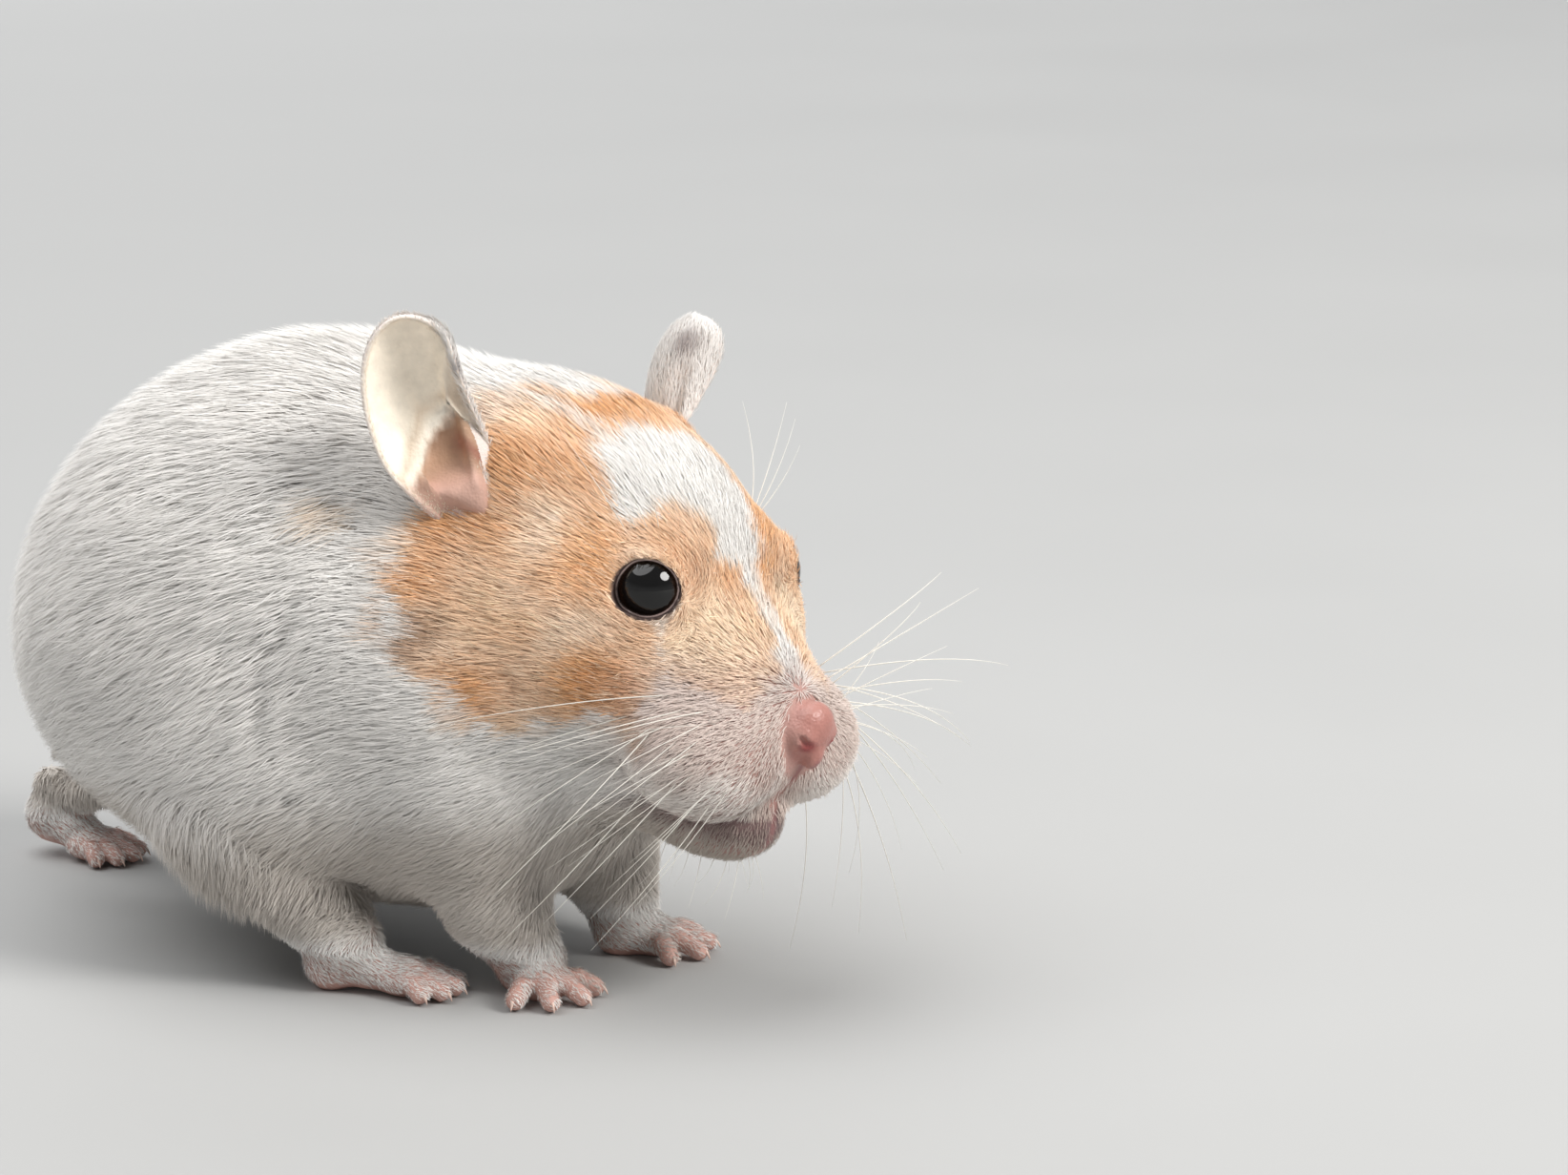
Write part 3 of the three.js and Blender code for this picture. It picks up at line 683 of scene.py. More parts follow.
def tube_mesh(paths, radii, sides=5):
    """Tapered tubes in one mesh: paths is tubes x points x 3, radii is tubes x points."""
    tubes, steps = paths.shape[:2]
    along = unit(np.gradient(paths, axis=1))
    aside = unit(np.cross(along, np.array([0.31, 0.22, 0.93])))
    other = np.cross(along, aside)
    angles = np.arange(sides) * 2 * np.pi / sides
    ring = (aside[:, :, None] * np.cos(angles)[:, None] + other[:, :, None] * np.sin(angles)[:, None])
    vertices = (paths[:, :, None] + ring * radii[:, :, None, None]).reshape(-1, 3)

    def vertex(tube, step, side):
        return ((tube * steps + step) * sides + side % sides).ravel()

    t, i, j = np.meshgrid(np.arange(tubes), np.arange(steps - 1), np.arange(sides), indexing="ij")
    corners = [vertex(t, i, j), vertex(t, i, j + 1), vertex(t, i + 1, j + 1), vertex(t, i + 1, j)]
    root = len(vertices) + np.arange(tubes)
    tip = root + tubes
    vertices = np.concatenate([vertices, paths[:, 0], paths[:, -1]])
    t, j = np.meshgrid(np.arange(tubes), np.arange(sides), indexing="ij")
    last = steps - 1
    caps = [[root[t.ravel()], vertex(t, 0, j + 1), vertex(t, 0, j)],
            [tip[t.ravel()], vertex(t, last, j), vertex(t, last, j + 1)]]
    return vertices, np.stack(corners, 1), np.concatenate([np.stack(cap, 1) for cap in caps])


# ---------------------------------------------------------------- materials
class Surface:
    """A material on its Principled node, with what is needed to add to it."""

    def __init__(self, name, **constants):
        self.material = bpy.data.materials.new(name)
        self.material.use_nodes = True
        self.nodes, self.link = self.material.node_tree.nodes, self.material.node_tree.links.new
        self.principled = self.nodes["Principled BSDF"]
        for socket, value in constants.items():
            self.principled.inputs[socket.replace("_", " ")].default_value = value

    def node(self, kind, **values):
        """A new node, with these values for its properties or sockets."""
        made = self.nodes.new("ShaderNode" + kind)
        for key, value in values.items():
            if hasattr(made, key):
                setattr(made, key, value)
            else:
                made.inputs[key.replace("_", " ")].default_value = value
        return made

    def texture(self, kind, output, **values):
        """The output of a texture in the object's own coordinates."""
        where = self.node("TexCoord")
        made = self.node(kind, **values)
        self.link(where.outputs["Object"], made.inputs["Vector"])
        return made.outputs[output]

    def spread(self, source, low, high, start=0.3, end=0.7):
        """A value from start to end, as noise mostly is, stretched to low..high."""
        made = self.node("MapRange", From_Min=start, From_Max=end, To_Min=low, To_Max=high)
        self.link(source, made.inputs["Value"])
        return made.outputs["Result"]

    def tint(self, factor):
        """The tint attribute times a factor, as the base colour."""
        tint = self.node("Attribute", attribute_name="tint")
        grey = self.node("CombineColor")
        for channel in ("Red", "Green", "Blue"):
            self.link(factor, grey.inputs[channel])
        product = self.node("Mix", data_type="RGBA", blend_type="MULTIPLY")
        product.inputs["Factor"].default_value = 1.0
        self.link(tint.outputs["Color"], product.inputs[6])
        self.link(grey.outputs["Color"], product.inputs[7])
        self.link(product.outputs[2], self.principled.inputs["Base Color"])

    def roughness(self, source):
        self.link(source, self.principled.inputs["Roughness"])

    def bump(self, height, strength, distance):
        bump = self.node("Bump", Strength=strength, Distance=distance)
        self.link(height, bump.inputs["Height"])
        self.link(bump.outputs["Normal"], self.principled.inputs["Normal"])


def coat_material(name, roughness, sheen):
    hair = Surface(name, Specular_IOR_Level=0.28, Sheen_Weight=sheen, Sheen_Roughness=0.45)
    fine = hair.texture("TexNoise", "Fac", Scale=900.0, Detail=2.0)
    broad = hair.texture("TexNoise", "Fac", Scale=160.0, Detail=3.0)
    hair.tint(hair.spread(broad, 0.94, 1.03))
    hair.roughness(hair.spread(fine, roughness - 0.08, roughness + 0.08))
    hair.bump(fine, 0.25, 0.00004)
    return hair.material


def skin_material():
    skin = Surface("skin", Specular_IOR_Level=0.42)
    mottle = skin.texture("TexNoise", "Fac", Scale=700.0, Detail=4.0)
    skin.tint(skin.spread(mottle, 0.9, 1.06))
    gloss = skin.node("Attribute", attribute_name="gloss")
    skin.roughness(skin.spread(gloss.outputs["Fac"], 0.62, 0.27, 0.0, 1.0))
    pores = skin.texture("TexVoronoi", "Distance", Scale=3400.0)
    creases = skin.texture("TexNoise", "Fac", Scale=2200.0, Detail=3.0)
    total = skin.node("Math", operation="ADD")
    skin.link(pores, total.inputs[0])
    skin.link(creases, total.inputs[1])
    skin.bump(total.outputs["Value"], 0.55, 0.00007)
    return skin.material


def eye_material():
    eye = Surface("eye", Specular_IOR_Level=0.45)
    fibres = eye.texture("TexNoise", "Fac", Scale=1300.0, Detail=3.0)
    eye.tint(eye.spread(fibres, 0.7, 1.2))
    eye.roughness(eye.spread(fibres, 0.03, 0.05))
    return eye.material


def plain_material(name, colour, roughness, amount, scale, **constants):
    """One colour with a mottle of that strength and scale, for claws, whiskers, lid rims and floor."""
    plain = Surface(name, **constants)
    mottle = plain.texture("TexNoise", "Fac", Scale=scale, Detail=3.0)
    ramp = plain.node("ValToRGB")
    for stop, position, level in zip(ramp.color_ramp.elements, (0.3, 0.7), (1 - amount, 1 + amount)):
        stop.color = (*np.clip(np.array(colour) * level, 0, 1), 1)
        stop.position = position
    plain.link(mottle, ramp.inputs["Fac"])
    plain.link(ramp.outputs["Color"], plain.principled.inputs["Base Color"])
    plain.roughness(plain.spread(mottle, roughness - 0.05, roughness + 0.05))
    plain.bump(mottle, 0.2, 0.00003)
    return plain.material


# ---------------------------------------------------------------- ears
# at: the middle of the bowl; up: its long axis; open: where it opens to;
# front: which way along x its front edge is
EARS = {
    "right": dict(at=[-20.5, 19.6, 10.2], up=[-0.17, 0.5, 0.85], open=[-0.8, -0.5, 0.28], length=21, front=1),
    "left": dict(at=[18.8, 19.3, 7.6], up=[0.2, 0.4, 0.88], open=[0.93, -0.33, 0.1], length=20, front=-1),
}
EAR_WIDE, EAR_DEEP = 5.75, 4.6  # the bowl's half width and its depth
EAR_GRID = 38  # cells across each face of an ear
ROOT_DEPTH = 0.5  # how far the rooted part of the rim lies under the skin
FOLD = [-5, -4, -3, -1.3, 1.4, 4.2, 6], [-9.5, -7.4, -5.0, -2.2, -0.7, 0.6, 1.2]  # forwards, up the ear


def ear_home(ear):
    """The middle of an ear's bowl and its own axes: across, to its back and up its length."""
    z = unit(np.array(ear["up"], float))
    y = -np.array(ear["open"], float)
    y = unit(y - z * (y @ z))
    return place(HEAD, ear["at"]), HEAD[1] @ np.stack([np.cross(y, z), y, z], 1)


def fold_edge(f, z):
    """About the height over the fold that bounds the deep hollow; below 0 in the hollow."""
    return (z - np.interp(f, *FOLD)) * 0.85


def narrowed(ear, points):
    """The front edge drawn back below the fold, to the head's fur, and the foot drawn down and forwards."""
    x, y, z = np.moveaxis(points, -1, 0)
    f = x * ear["front"]
    front = smooth(0.5, 5.5, f) * smooth(8.5, 1.0, z) * smooth(-10.5, -5, z)
    low = smooth(-4.5, -9.5, z)
    return np.stack([x + ear["front"] * (1.7 * low - 2.4 * front), y, z - 1.1 * low], -1)


def ear_sheet(ear, a, b, inner):
    """Points of an ear's back or of its hollow; a and b run over a disc, x across and z up the ear."""
    r = np.sqrt(a * a + b * b) + 1e-9
    theta = np.radians(97) * r
    long = ear["length"] / 2
    x, y, z = EAR_WIDE * np.sin(theta) * a / r, EAR_DEEP * np.cos(theta), (long - 0.5) * np.sin(theta) * b / r
    x = x * (1 - 0.22 * smooth(-2, -long, z)) - 0.25 * ear["front"] * smooth(-2, 8, z)
    points = np.stack([x, y, z], -1)
    if not inner:
        return narrowed(ear, points)
    normal = unit(np.stack([x / EAR_WIDE ** 2, y / EAR_DEEP ** 2, z / long ** 2], -1))
    edge = fold_edge(x * ear["front"], z)
    plate = smooth(-0.25, 0.5, edge) * smooth(1.0, 0.6, r)
    thick = 0.4 + plate * (0.55 + 0.95 * smooth(6.5, 1.0, edge))
    thick = thick + 0.35 * np.exp(-((edge - 0.6) / 0.5) ** 2) * smooth(0.97, 0.7, r)  # the fold's rolled edge
    thick = thick + 1.3 * smooth(-5.0, -7.5, z) * smooth(1.0, 0.75, r)  # the swelling at the foot of the bowl
    return narrowed(ear, points - normal * thick[..., None])


def rooted(ear, local, reach):
    """The ear's points, with the lower part of its rim drawn down into the head."""
    f, z = local[:, 0] * ear["front"], local[:, 2]
    front = smooth(0.4, 3.2, f) * smooth(5.5, 0.5, z)
    low = smooth(-5.0, -8.6, z)
    weight = np.maximum(front, low) * smooth(0.45, 0.95, reach)
    points = place(ear_home(ear), local)
    slope = unit(gradient(field_at, points, 0.3))
    depth = field_at(points) + ROOT_DEPTH
    return points - slope * (weight * np.maximum(depth, 0))[:, None]


def make_ear(ear):
    """An ear's points and quads, and each point's local place, side and reach.

    side is 0 on the back and 1 in the hollow; reach is 0 at the middle and 1 at the rim.
    """
    n = EAR_GRID
    u, v = np.meshgrid(np.linspace(-1, 1, n + 1), np.linspace(-1, 1, n + 1), indexing="ij")
    a, b = u * np.sqrt(1 - v * v / 2), v * np.sqrt(1 - u * u / 2)
    back, hollow = ear_sheet(ear, a, b, False), ear_sheet(ear, a, b, True)
    ring = [(i, 0) for i in range(n)] + [(n, j) for j in range(n)]
    ring += [(i, n) for i in range(n, 0, -1)] + [(0, j) for j in range(n, 0, -1)]
    rim = np.array([(back[c] + hollow[c]) / 2 + [0, -0.16, 0] for c in ring])
    local = np.concatenate([back.reshape(-1, 3), hollow.reshape(-1, 3), rim])
    sheet = (n + 1) ** 2  # points in each of the two faces
    grid = np.arange(sheet).reshape(n + 1, n + 1)
    cells = np.stack([grid[:-1, :-1], grid[1:, :-1], grid[1:, 1:], grid[:-1, 1:]], -1).reshape(-1, 4)
    edge = np.array([grid[c] for c in ring])
    after, middle = np.roll(edge, -1), 2 * sheet + np.arange(len(ring))
    quads = np.concatenate([
        cells[:, ::-1],
        cells + sheet,
        np.stack([edge, after, np.roll(middle, -1), middle], 1),
        np.stack([middle, np.roll(middle, -1), after + sheet, edge + sheet], 1),
    ])
    side = np.repeat([0, 1, 0.5], [sheet, sheet, len(ring)])
    disc = np.sqrt(a * a + b * b).ravel()
    reach = np.concatenate([disc, disc, np.ones(len(ring))])
    return rooted(ear, local, reach), quads, local, side, reach


def ear_colour(ear, local, side, reach):
    """Pale pink on the back; in the hollow cream, with a brown deep part that is redder in the middle, its
    darkness partly the ear's own colour and partly painted shade of the recess.
    """
    f, z = local[:, 0] * ear["front"], local[:, 2]
    noise = value_noise(local, 2.4, 21)
    foot = smooth(-4.5, -8.0, z)
    edge = fold_edge(f, z)
    red = 1 - np.hypot((f - 2.3) / 3.0, (z + 3.2) / 2.2) + 0.15 * noise
    back = painted(np.tile(srgb(238, 224, 216), (len(local), 1)), ((222, 186, 174), 0.8 * foot))
    hollow = painted(
        np.tile(srgb(250, 240, 224), (len(local), 1)),
        ((206, 184, 160), 0.7 * np.exp(-((edge - 2.6 + noise) / 1.0) ** 2)),
        # painted shade with the ear's own tone: the deep part below the fold darker brown, redder at the
        # canal
        ((186, 150, 124), smooth(0.35, -0.5, edge + 0.3 * noise)),
        ((150, 92, 76), 0.85 * smooth(0.1, 0.9, red)),
        ((204, 164, 148), smooth(-4.6, -6.4, z + 0.6 * noise)),
        ((232, 220, 206), 0.7 * smooth(0.9, 0.99, reach) * (1 - foot)),  # the rim
    )
    return mix(back, hollow, smooth(0.2, 0.6, side)) * (1 + 0.03 * noise[:, None])


# ---------------------------------------------------------------- the skin
def build_skin():
    """The skin's points and quads, from a grid that is finest on the face and feet."""
    xs = lines(-29.0, (-20.0, 0.5), (-15.5, 0.38), (11.5, 0.3), (29.0, 0.55))
    ys = lines(-52.2, (-44.0, 0.24), (-31.0, 0.29), (-16.0, 0.5), (0.0, 1.0), (33.0, 2.0), (52.2, 0.5))
    zs = lines(-0.4, (5.0, 0.3), (21.0, 0.65), (33.0, 0.29), (44.5, 0.31), (62.0, 0.8))
    values = field_on_grid(xs, ys, zs)
    vertices, quads = surface_net(values, xs, ys, zs)
    return settled(vertices, 0.25), quads


def unwrap(thing):
    """An unwrap of the mesh by its own shape, in OFBake; gives each corner's place."""
    bpy.context.view_layer.objects.active = thing
    thing.select_set(True)
    thing.data.uv_layers.new(name="OFBake")
    bpy.ops.object.mode_set(mode="EDIT")
    bpy.ops.mesh.select_all(action="SELECT")
    bpy.ops.uv.smart_project(angle_limit=math.radians(66), island_margin=0.002, area_weight=0.5)
    bpy.ops.object.mode_set(mode="OBJECT")
    thing.select_set(False)
    placed = np.zeros(len(thing.data.loops) * 2, np.float32)
    thing.data.uv_layers["OFBake"].uv.foreach_get("vector", placed)
    return placed.reshape(-1, 4, 2)


class Level:
    """The plain skin's field and its slope on a coarse grid, read between the grid's points."""

    def __init__(self, low, high, step):
        self.low, self.step = np.array(low, float), step
        axes = [np.arange(a, b + step, step) for a, b in zip(low, high)]
        x, y, z = np.meshgrid(*axes, indexing="ij")
        values = field_at(np.stack([x, y, z], -1).reshape(-1, 3), details=False).reshape(x.shape)
        self.stack = np.stack([values, *np.gradient(values, step)], -1)

    def __call__(self, points):
        q = np.clip((points - self.low) / self.step, 0, np.array(self.stack.shape[:3]) - 1.001)
        cell = q.astype(int)
        total = 0
        for corner, weight in cube_corners(q - cell):
            i, j, k = (cell + corner).T
            total = total + weight[:, None] * self.stack[i, j, k]
        return total[:, 0], unit(total[:, 1:])


# ---------------------------------------------------------------- the coat
PATCH = 0.003  # across each tuft's place on the unwrap
MOST_TRIANGLES = 190000  # in each piece of the coat
RINGS = 3  # places along each tuft, the last being its tip
ROOT_SHADE = 0.93  # a tuft's colour at its root, as a share of that at its tip: painted shade, darker towards the root deep in the coat
UNDERCOAT = dict(share=0.3, least=1.6, length=0.62, width=2.2, loft=0.62, yaw=3.0)  # it closes the gaps
STRAYS = dict(share=0.08, length=1.22, width=0.55, lift=0.16)  # fine hairs that stand out of the coat
OFF_EYE = 1.03  # a tuft whose middle or tip has a lid_reach under this would cover the eye, and is left out
ROOM = [-33, -58, -2], [33, 56, 70]  # corners of a box that holds the coat
FEWER, WIDER = ((1.0, 1.0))


def limb_weight(points):
    """1 on the legs, 0 on the trunk and head."""
    nearest = np.min([shape.value(*points.T) for shape in LIMBS], axis=0)
    return smooth(3.0, 0.6, nearest)


def foot_weights(points):
    """Weight of the foot that a point is on, its direction, and the weight of its digits alone."""
    weight, ahead, digits = np.zeros(len(points)), np.zeros((len(points), 3)), np.zeros(len(points))
    for foot in FEET.values():
        x, y, z = to_local(foot_home(foot), points).T
        ball, end = -foot["long"], -foot["long"] - 9
        beside = smooth(6.5, 5, np.abs(x))
        on = smooth(6.0, 4.0, z) * beside * smooth(4, 2.5, y) * smooth(end, end + 2, y)
        ahead -= on[:, None] * foot_home(foot)[1][:, 1]
        weight = np.maximum(weight, on)
        on_digits = beside * smooth(4, 3, z) * (y > end) * smooth(ball - 0.6, ball - 1.8, y)
        digits = np.maximum(digits, on_digits)
    return weight, ahead, digits


def lie_of_hair(points, normals):
    """Which way the hair lies, along the skin."""
    q = to_local(HEAD, points)
    from_nose = unit(points - place(HEAD, NOSE + [0, 3, 2.5]))
    flow = np.tile(unit(np.array([0.0, 0.82, -0.42])), (len(points), 1))
    flow[:, 0] += 0.25 * np.tanh(points[:, 0] / 12) * smooth(10, 35, points[:, 2])
    flow = lerp(flow, np.array([0.0, -0.1, -1.0]), limb_weight(points)[:, None])
    flow = lerp(from_nose, flow, smooth(12, 30, q[:, 1])[:, None])
    foot, ahead, _ = foot_weights(points)
    flow = lerp(flow, ahead - np.array([0, 0, 0.5]), foot[:, None])
    for s in SIDES:  # parting round the eyes
        away = points - place(HEAD, EYE_AT[s])
        far = np.linalg.norm(away, axis=1, keepdims=True)
        away = along_skin(away, normals)
        towards = np.minimum((unit(flow) * away).sum(1, keepdims=True), 0)
        flow = unit(flow) - away * towards * smooth(8.5, 4.5, far) * 1.15
    swirl = value_noise(points, 7.0, 31)[:, None] * 0.16 + value_noise(points, 2.2, 32)[:, None] * 0.06
    flow = unit(flow) + np.cross(normals, unit(flow)) * swirl
    return along_skin(flow, normals)


def hair_length(points):
    """From 1.0 mm at the nose to 5.8 mm on the body; shorter at the jaw, eyes, tail and feet."""
    q = to_local(HEAD, points)
    long = np.interp(q[:, 1], [-16, -12, -7, -1, 7, 15, 23, 31], [1.0, 1.6, 2.1, 2.7, 3.5, 4.2, 5.0, 5.8])
    jaw = smooth(-17, -19, q[:, 2]) * smooth(4, -3, q[:, 1])
    long = long * (1 - 0.4 * jaw)
    long = long * lerp(0.4, 1, smooth(3.4, 6.5, eye_distance(q)))
    tail = blob(points, CENTRE + [0, 27.5, 15], [3.2, 3.2, 6.5])
    long = lerp(long, 1.3, smooth(0, 0.35, tail))
    return np.minimum(long, np.interp(points[:, 2], [0, 1.5, 4, 8, 13, 20], [0.5, 0.7, 1.0, 2.0, 3.8, 5.6]))


def hair_density(points, normals):
    """Tufts per square mm."""
    q = to_local(HEAD, points)
    x, y, z = q.T
    height = points[:, 2]
    made = np.interp(y, [-16, -10, -3, 3, 12, 22, 34], [30, 34, 52, 52, 46, 32, 25])
    made = np.maximum(made, np.interp(height, [0, 4, 9, 16], [34, 34, 30, 22]))
    made = made * smooth(0.04, -0.1, blob(q, NOSE + [0, -0.3, -0.5], [3.2, 3.6, 4.1]))  # the nose is bare
    lips = smooth(-18.0, -18.3, z) * smooth(-19.5, -19.1, z) * smooth(-4, -6, y)
    made = made * (1 - 0.9 * lips) * (1 - 0.35 * smooth(-18, -19.6, z) * smooth(1, -4, y))
    cleft = smooth(0.9, 0.4, np.abs(x)) * smooth(-10.5, -11.5, z) * smooth(-11, -13, y)
    made = made * (1 - 0.85 * cleft) * smooth(1.05, 1.12, lid_reach(points))
    soles = smooth(1.2, 0.5, height) + smooth(-0.3, -0.7, normals[:, 2]) * smooth(3.5, 2, height)
    made = made * (1 - np.clip(soles, 0, 1))
    foot, _, digits = foot_weights(points)
    made = made * (1 - 0.2 * foot) * (1 - 0.5 * digits)
    tail = blob(points, CENTRE + [0, 26.5, 15.5], [3.2, 3.4, 7])
    return made * (1 + 0.6 * smooth(0, 0.2, tail))


def scatter(vertices, quads, places, density):
    """Even random roots over the faces, their UV places, and what gives a vertex value at the roots."""
    faces = np.concatenate([quads[:, [0, 1, 2]], quads[:, [0, 2, 3]]])
    corner_uv = np.concatenate([places[:, [0, 1, 2]], places[:, [0, 2, 3]]])
    p = vertices[faces]
    area = np.linalg.norm(np.cross(p[:, 1] - p[:, 0], p[:, 2] - p[:, 0]), axis=1) / 2
    total = np.cumsum(area * density[faces].mean(1))
    count = int(total[-1])
    picked = np.searchsorted(total, (np.arange(count) + rng.random(count)) * total[-1] / count)
    picked = np.minimum(picked, len(faces) - 1)
    a, b = rng.random((2, count))
    flip = a + b > 1
    a, b = np.where(flip, 1 - a, a), np.where(flip, 1 - b, b)
    share = np.stack([1 - a - b, a, b], 1)[..., None]

    def at_roots(values):
        columns = values.reshape(len(values), -1)
        return (columns[faces[picked]] * share).sum(1).reshape(count, *values.shape[1:])

    return at_roots(vertices), (corner_uv[picked] * share).sum(1), at_roots


def swung(along, normals, angle):
    """Directions turned about the normals."""
    return along * np.cos(angle) + np.cross(normals, along) * np.sin(angle)


def clumped(roots, tips, size, pull):
    """Tips drawn together in locks of about that size in mm."""
    warped = roots + 0.35 * size * np.stack([value_noise(roots, 1.7 * size, 40 + m) for m in range(3)], 1)
    x, y, z = np.floor(warped / size).astype(np.int64).T
    key = (x * 73856093) ^ (y * 19349663) ^ (z * 83492791)  # one number for each cell
    _, lock, count = np.unique(key, return_inverse=True, return_counts=True)
    mean = np.stack([np.bincount(lock, tips[:, m]) / count for m in range(3)], 1)
    return tips + (mean[lock] - tips) * (pull * rng.uniform(0.4, 1.0, len(roots)))[:, None]


def ribbon(points, side, width, colours, place_uv, name):
    """Flat tapered tufts in one mesh. points is tufts x (k + 1) x 3, the last being the tip."""
    tufts, rings = points.shape[:2]
    k = rings - 1
    taper = np.interp(np.arange(k) / k, [0, 0.35, 1], [0.8, 1.0, 0.45])
    half = side[:, None] * (width[:, None] * taper)[:, :, None] / 2
    vertices = np.empty((tufts, 2 * k + 1, 3))
    vertices[:, 0:2 * k:2] = points[:, :k] - half
    vertices[:, 1:2 * k:2] = points[:, :k] + half
    vertices[:, 2 * k] = points[:, k]
    base = (np.arange(tufts) * (2 * k + 1))[:, None]
    quads = np.concatenate([base + np.array([2 * j + 1, 2 * j, 2 * j + 2, 2 * j + 3]) for j in range(k - 1)])
    tris = base + np.array([2 * k - 1, 2 * k - 2, 2 * k])
    up = np.repeat(np.arange(rings) / k, 2)[:2 * k + 1]
    across = np.append(np.tile([-1.0, 1.0], k), 0.0)
    patch = np.stack([across * PATCH / 2, (up - 0.5) * PATCH], 1)
    uv = (place_uv[:, None] + patch).reshape(-1, 2)
    corners = np.concatenate([g.ravel() for g in (quads, tris)])
    # painted shade: each tuft darker towards its root
    tint = colours[:, None] * lerp(ROOT_SHADE, 1.0, up)[:, None]
    return make_mesh(name, vertices.reshape(-1, 3), quads, tris, tint.reshape(-1, 3), uv[corners])


def in_pieces(name, order):
    """Slices of the tufts, from nose to rump, each within the limit."""
    triangles = 2 * (RINGS - 2) + 1
    parts = max(1, math.ceil(len(order) * triangles / MOST_TRIANGLES))
    for n, chosen in enumerate(np.array_split(order, parts)):
        yield f"{name}_{n + 1}" if parts > 1 else name, chosen


def in_ear(points):
    """True inside the bowl of an ear."""
    hit = np.zeros(len(points), bool)
    for ear in EARS.values():
        q = to_local(ear_home(ear), points)
        behind = np.interp(q[:, 2], [-8, -3, 2, 6], [0.4, 0.8, 1.6, 4.0])  # the front edge, up the ear
        bowl = ((q / [6.4, 4.7, ear["length"] / 2 - 0.6]) ** 2).sum(1) < 1
        hit |= bowl & (q[:, 1] > -1.0) & (q[:, 0] * ear["front"] < behind)
    return hit


def comb(roots, normals, along, length, level, under, stray):
    """Each tuft's path: short hair lifts off the skin, long hair lies in the coat at its own depth."""
    tufts = len(roots)
    loft = rng.uniform(0.66, 1.1, tufts) * np.where(under, UNDERCOAT["loft"], 1.0)
    depth = coat_depth(*roots.T)
    path = np.empty((tufts, RINGS, 3))
    path[:, 0] = roots - normals * 0.05
    here, way = roots.copy(), along.copy()
    held = smooth(1.7, 3.2, length)[:, None]
    lift = rng.uniform(0.12, 0.3, tufts) + np.where(stray, STRAYS["lift"], 0.0)
    for j in range(1, RINGS):
        t = j / (RINGS - 1)
        here = here + way * (length / (RINGS - 1))[:, None]
        value, slope = level(here)
        wanted = depth * loft * (1 - (1 - t) ** 1.7)
        here = here + slope * np.clip(wanted - value, -2.5, 2.5)[:, None]
        way = along_skin(way, slope)
        rise = length * lift * (1 - (1 - t) ** 1.8)
        free = roots + along * (length * t * 0.95)[:, None] + normals * rise[:, None]
        path[:, j] = lerp(free, here, held)
    return path


def grow_coat(name, chosen, roots, level, material, slot_name, lock_size, pull):
    """The tufts that grow at the chosen roots, as one or more pieces."""
    points, normals, uv, colours, length = (values[chosen] for values in roots)
    count = len(points)
    length = length * rng.uniform(0.72, 1.22, count)
    along = lie_of_hair(points, normals)
    draw = rng.random(count)
    under = (draw < UNDERCOAT["share"]) & (length > UNDERCOAT["least"])
    stray = draw > 1 - STRAYS["share"]

    def by_kind(key):
        return np.where(under, UNDERCOAT[key], np.where(stray, STRAYS[key], 1.0))

    length = length * by_kind("length")
    yaw = rng.normal(0, 0.2, count) * np.where(under, UNDERCOAT["yaw"], 1.0)
    along = swung(along, normals, yaw[:, None])
    path = comb(points, normals, along, length, level, under, stray)
    shift = clumped(points, path[:, -1], lock_size, pull) - path[:, -1]
    for j in range(1, RINGS):
        path[:, j] += shift * (j / (RINGS - 1)) ** 1.5
    path[:, :, 2] = np.maximum(path[:, :, 2], 0.04)
    for share in (0.7, 0.6):  # hair that would reach into an ear is cut shorter
        inside = in_ear(path[:, -1])
        path[inside] = path[inside, :1] + (path[inside] - path[inside, :1]) * share
    over_eye = np.minimum(lid_reach(path[:, -1]), lid_reach(path[:, (RINGS - 1) // 2])) < OFF_EYE
    keep = np.nonzero(~(over_eye | in_ear(path[:, -1])))[0]
    keep = keep[np.argsort(points[keep, 1], kind="stable")]
    roll = rng.normal(0, 0.24, count)[:, None]
    side = unit(np.cross(normals, along)) * np.cos(roll) + normals * np.sin(roll)
    width = WIDER * np.interp(length, [0.5, 2, 4, 8], [0.08, 0.1, 0.125, 0.165]) * by_kind("width")
    for label, n in in_pieces(name, keep):
        dressed(ribbon(path[n], side[n], width[n], colours[n], uv[n], label), material, slot_name)


def shade_tufts(colours, ginger):
    """Each tuft a little lighter or darker than its neighbours, with some brown hairs in the ginger."""
    count = len(colours)
    made = colours * np.clip(rng.normal(1.0, 0.035 + 0.07 * ginger, count), 0.7, 1.25)[:, None]
    draw = rng.random(count)
    made = mix(made, BROWN * 0.8, 0.65 * ginger * (draw < 0.07))
    return np.clip(mix(made, PALE, 0.6 * ginger * (draw > 0.86)), 0, 1)


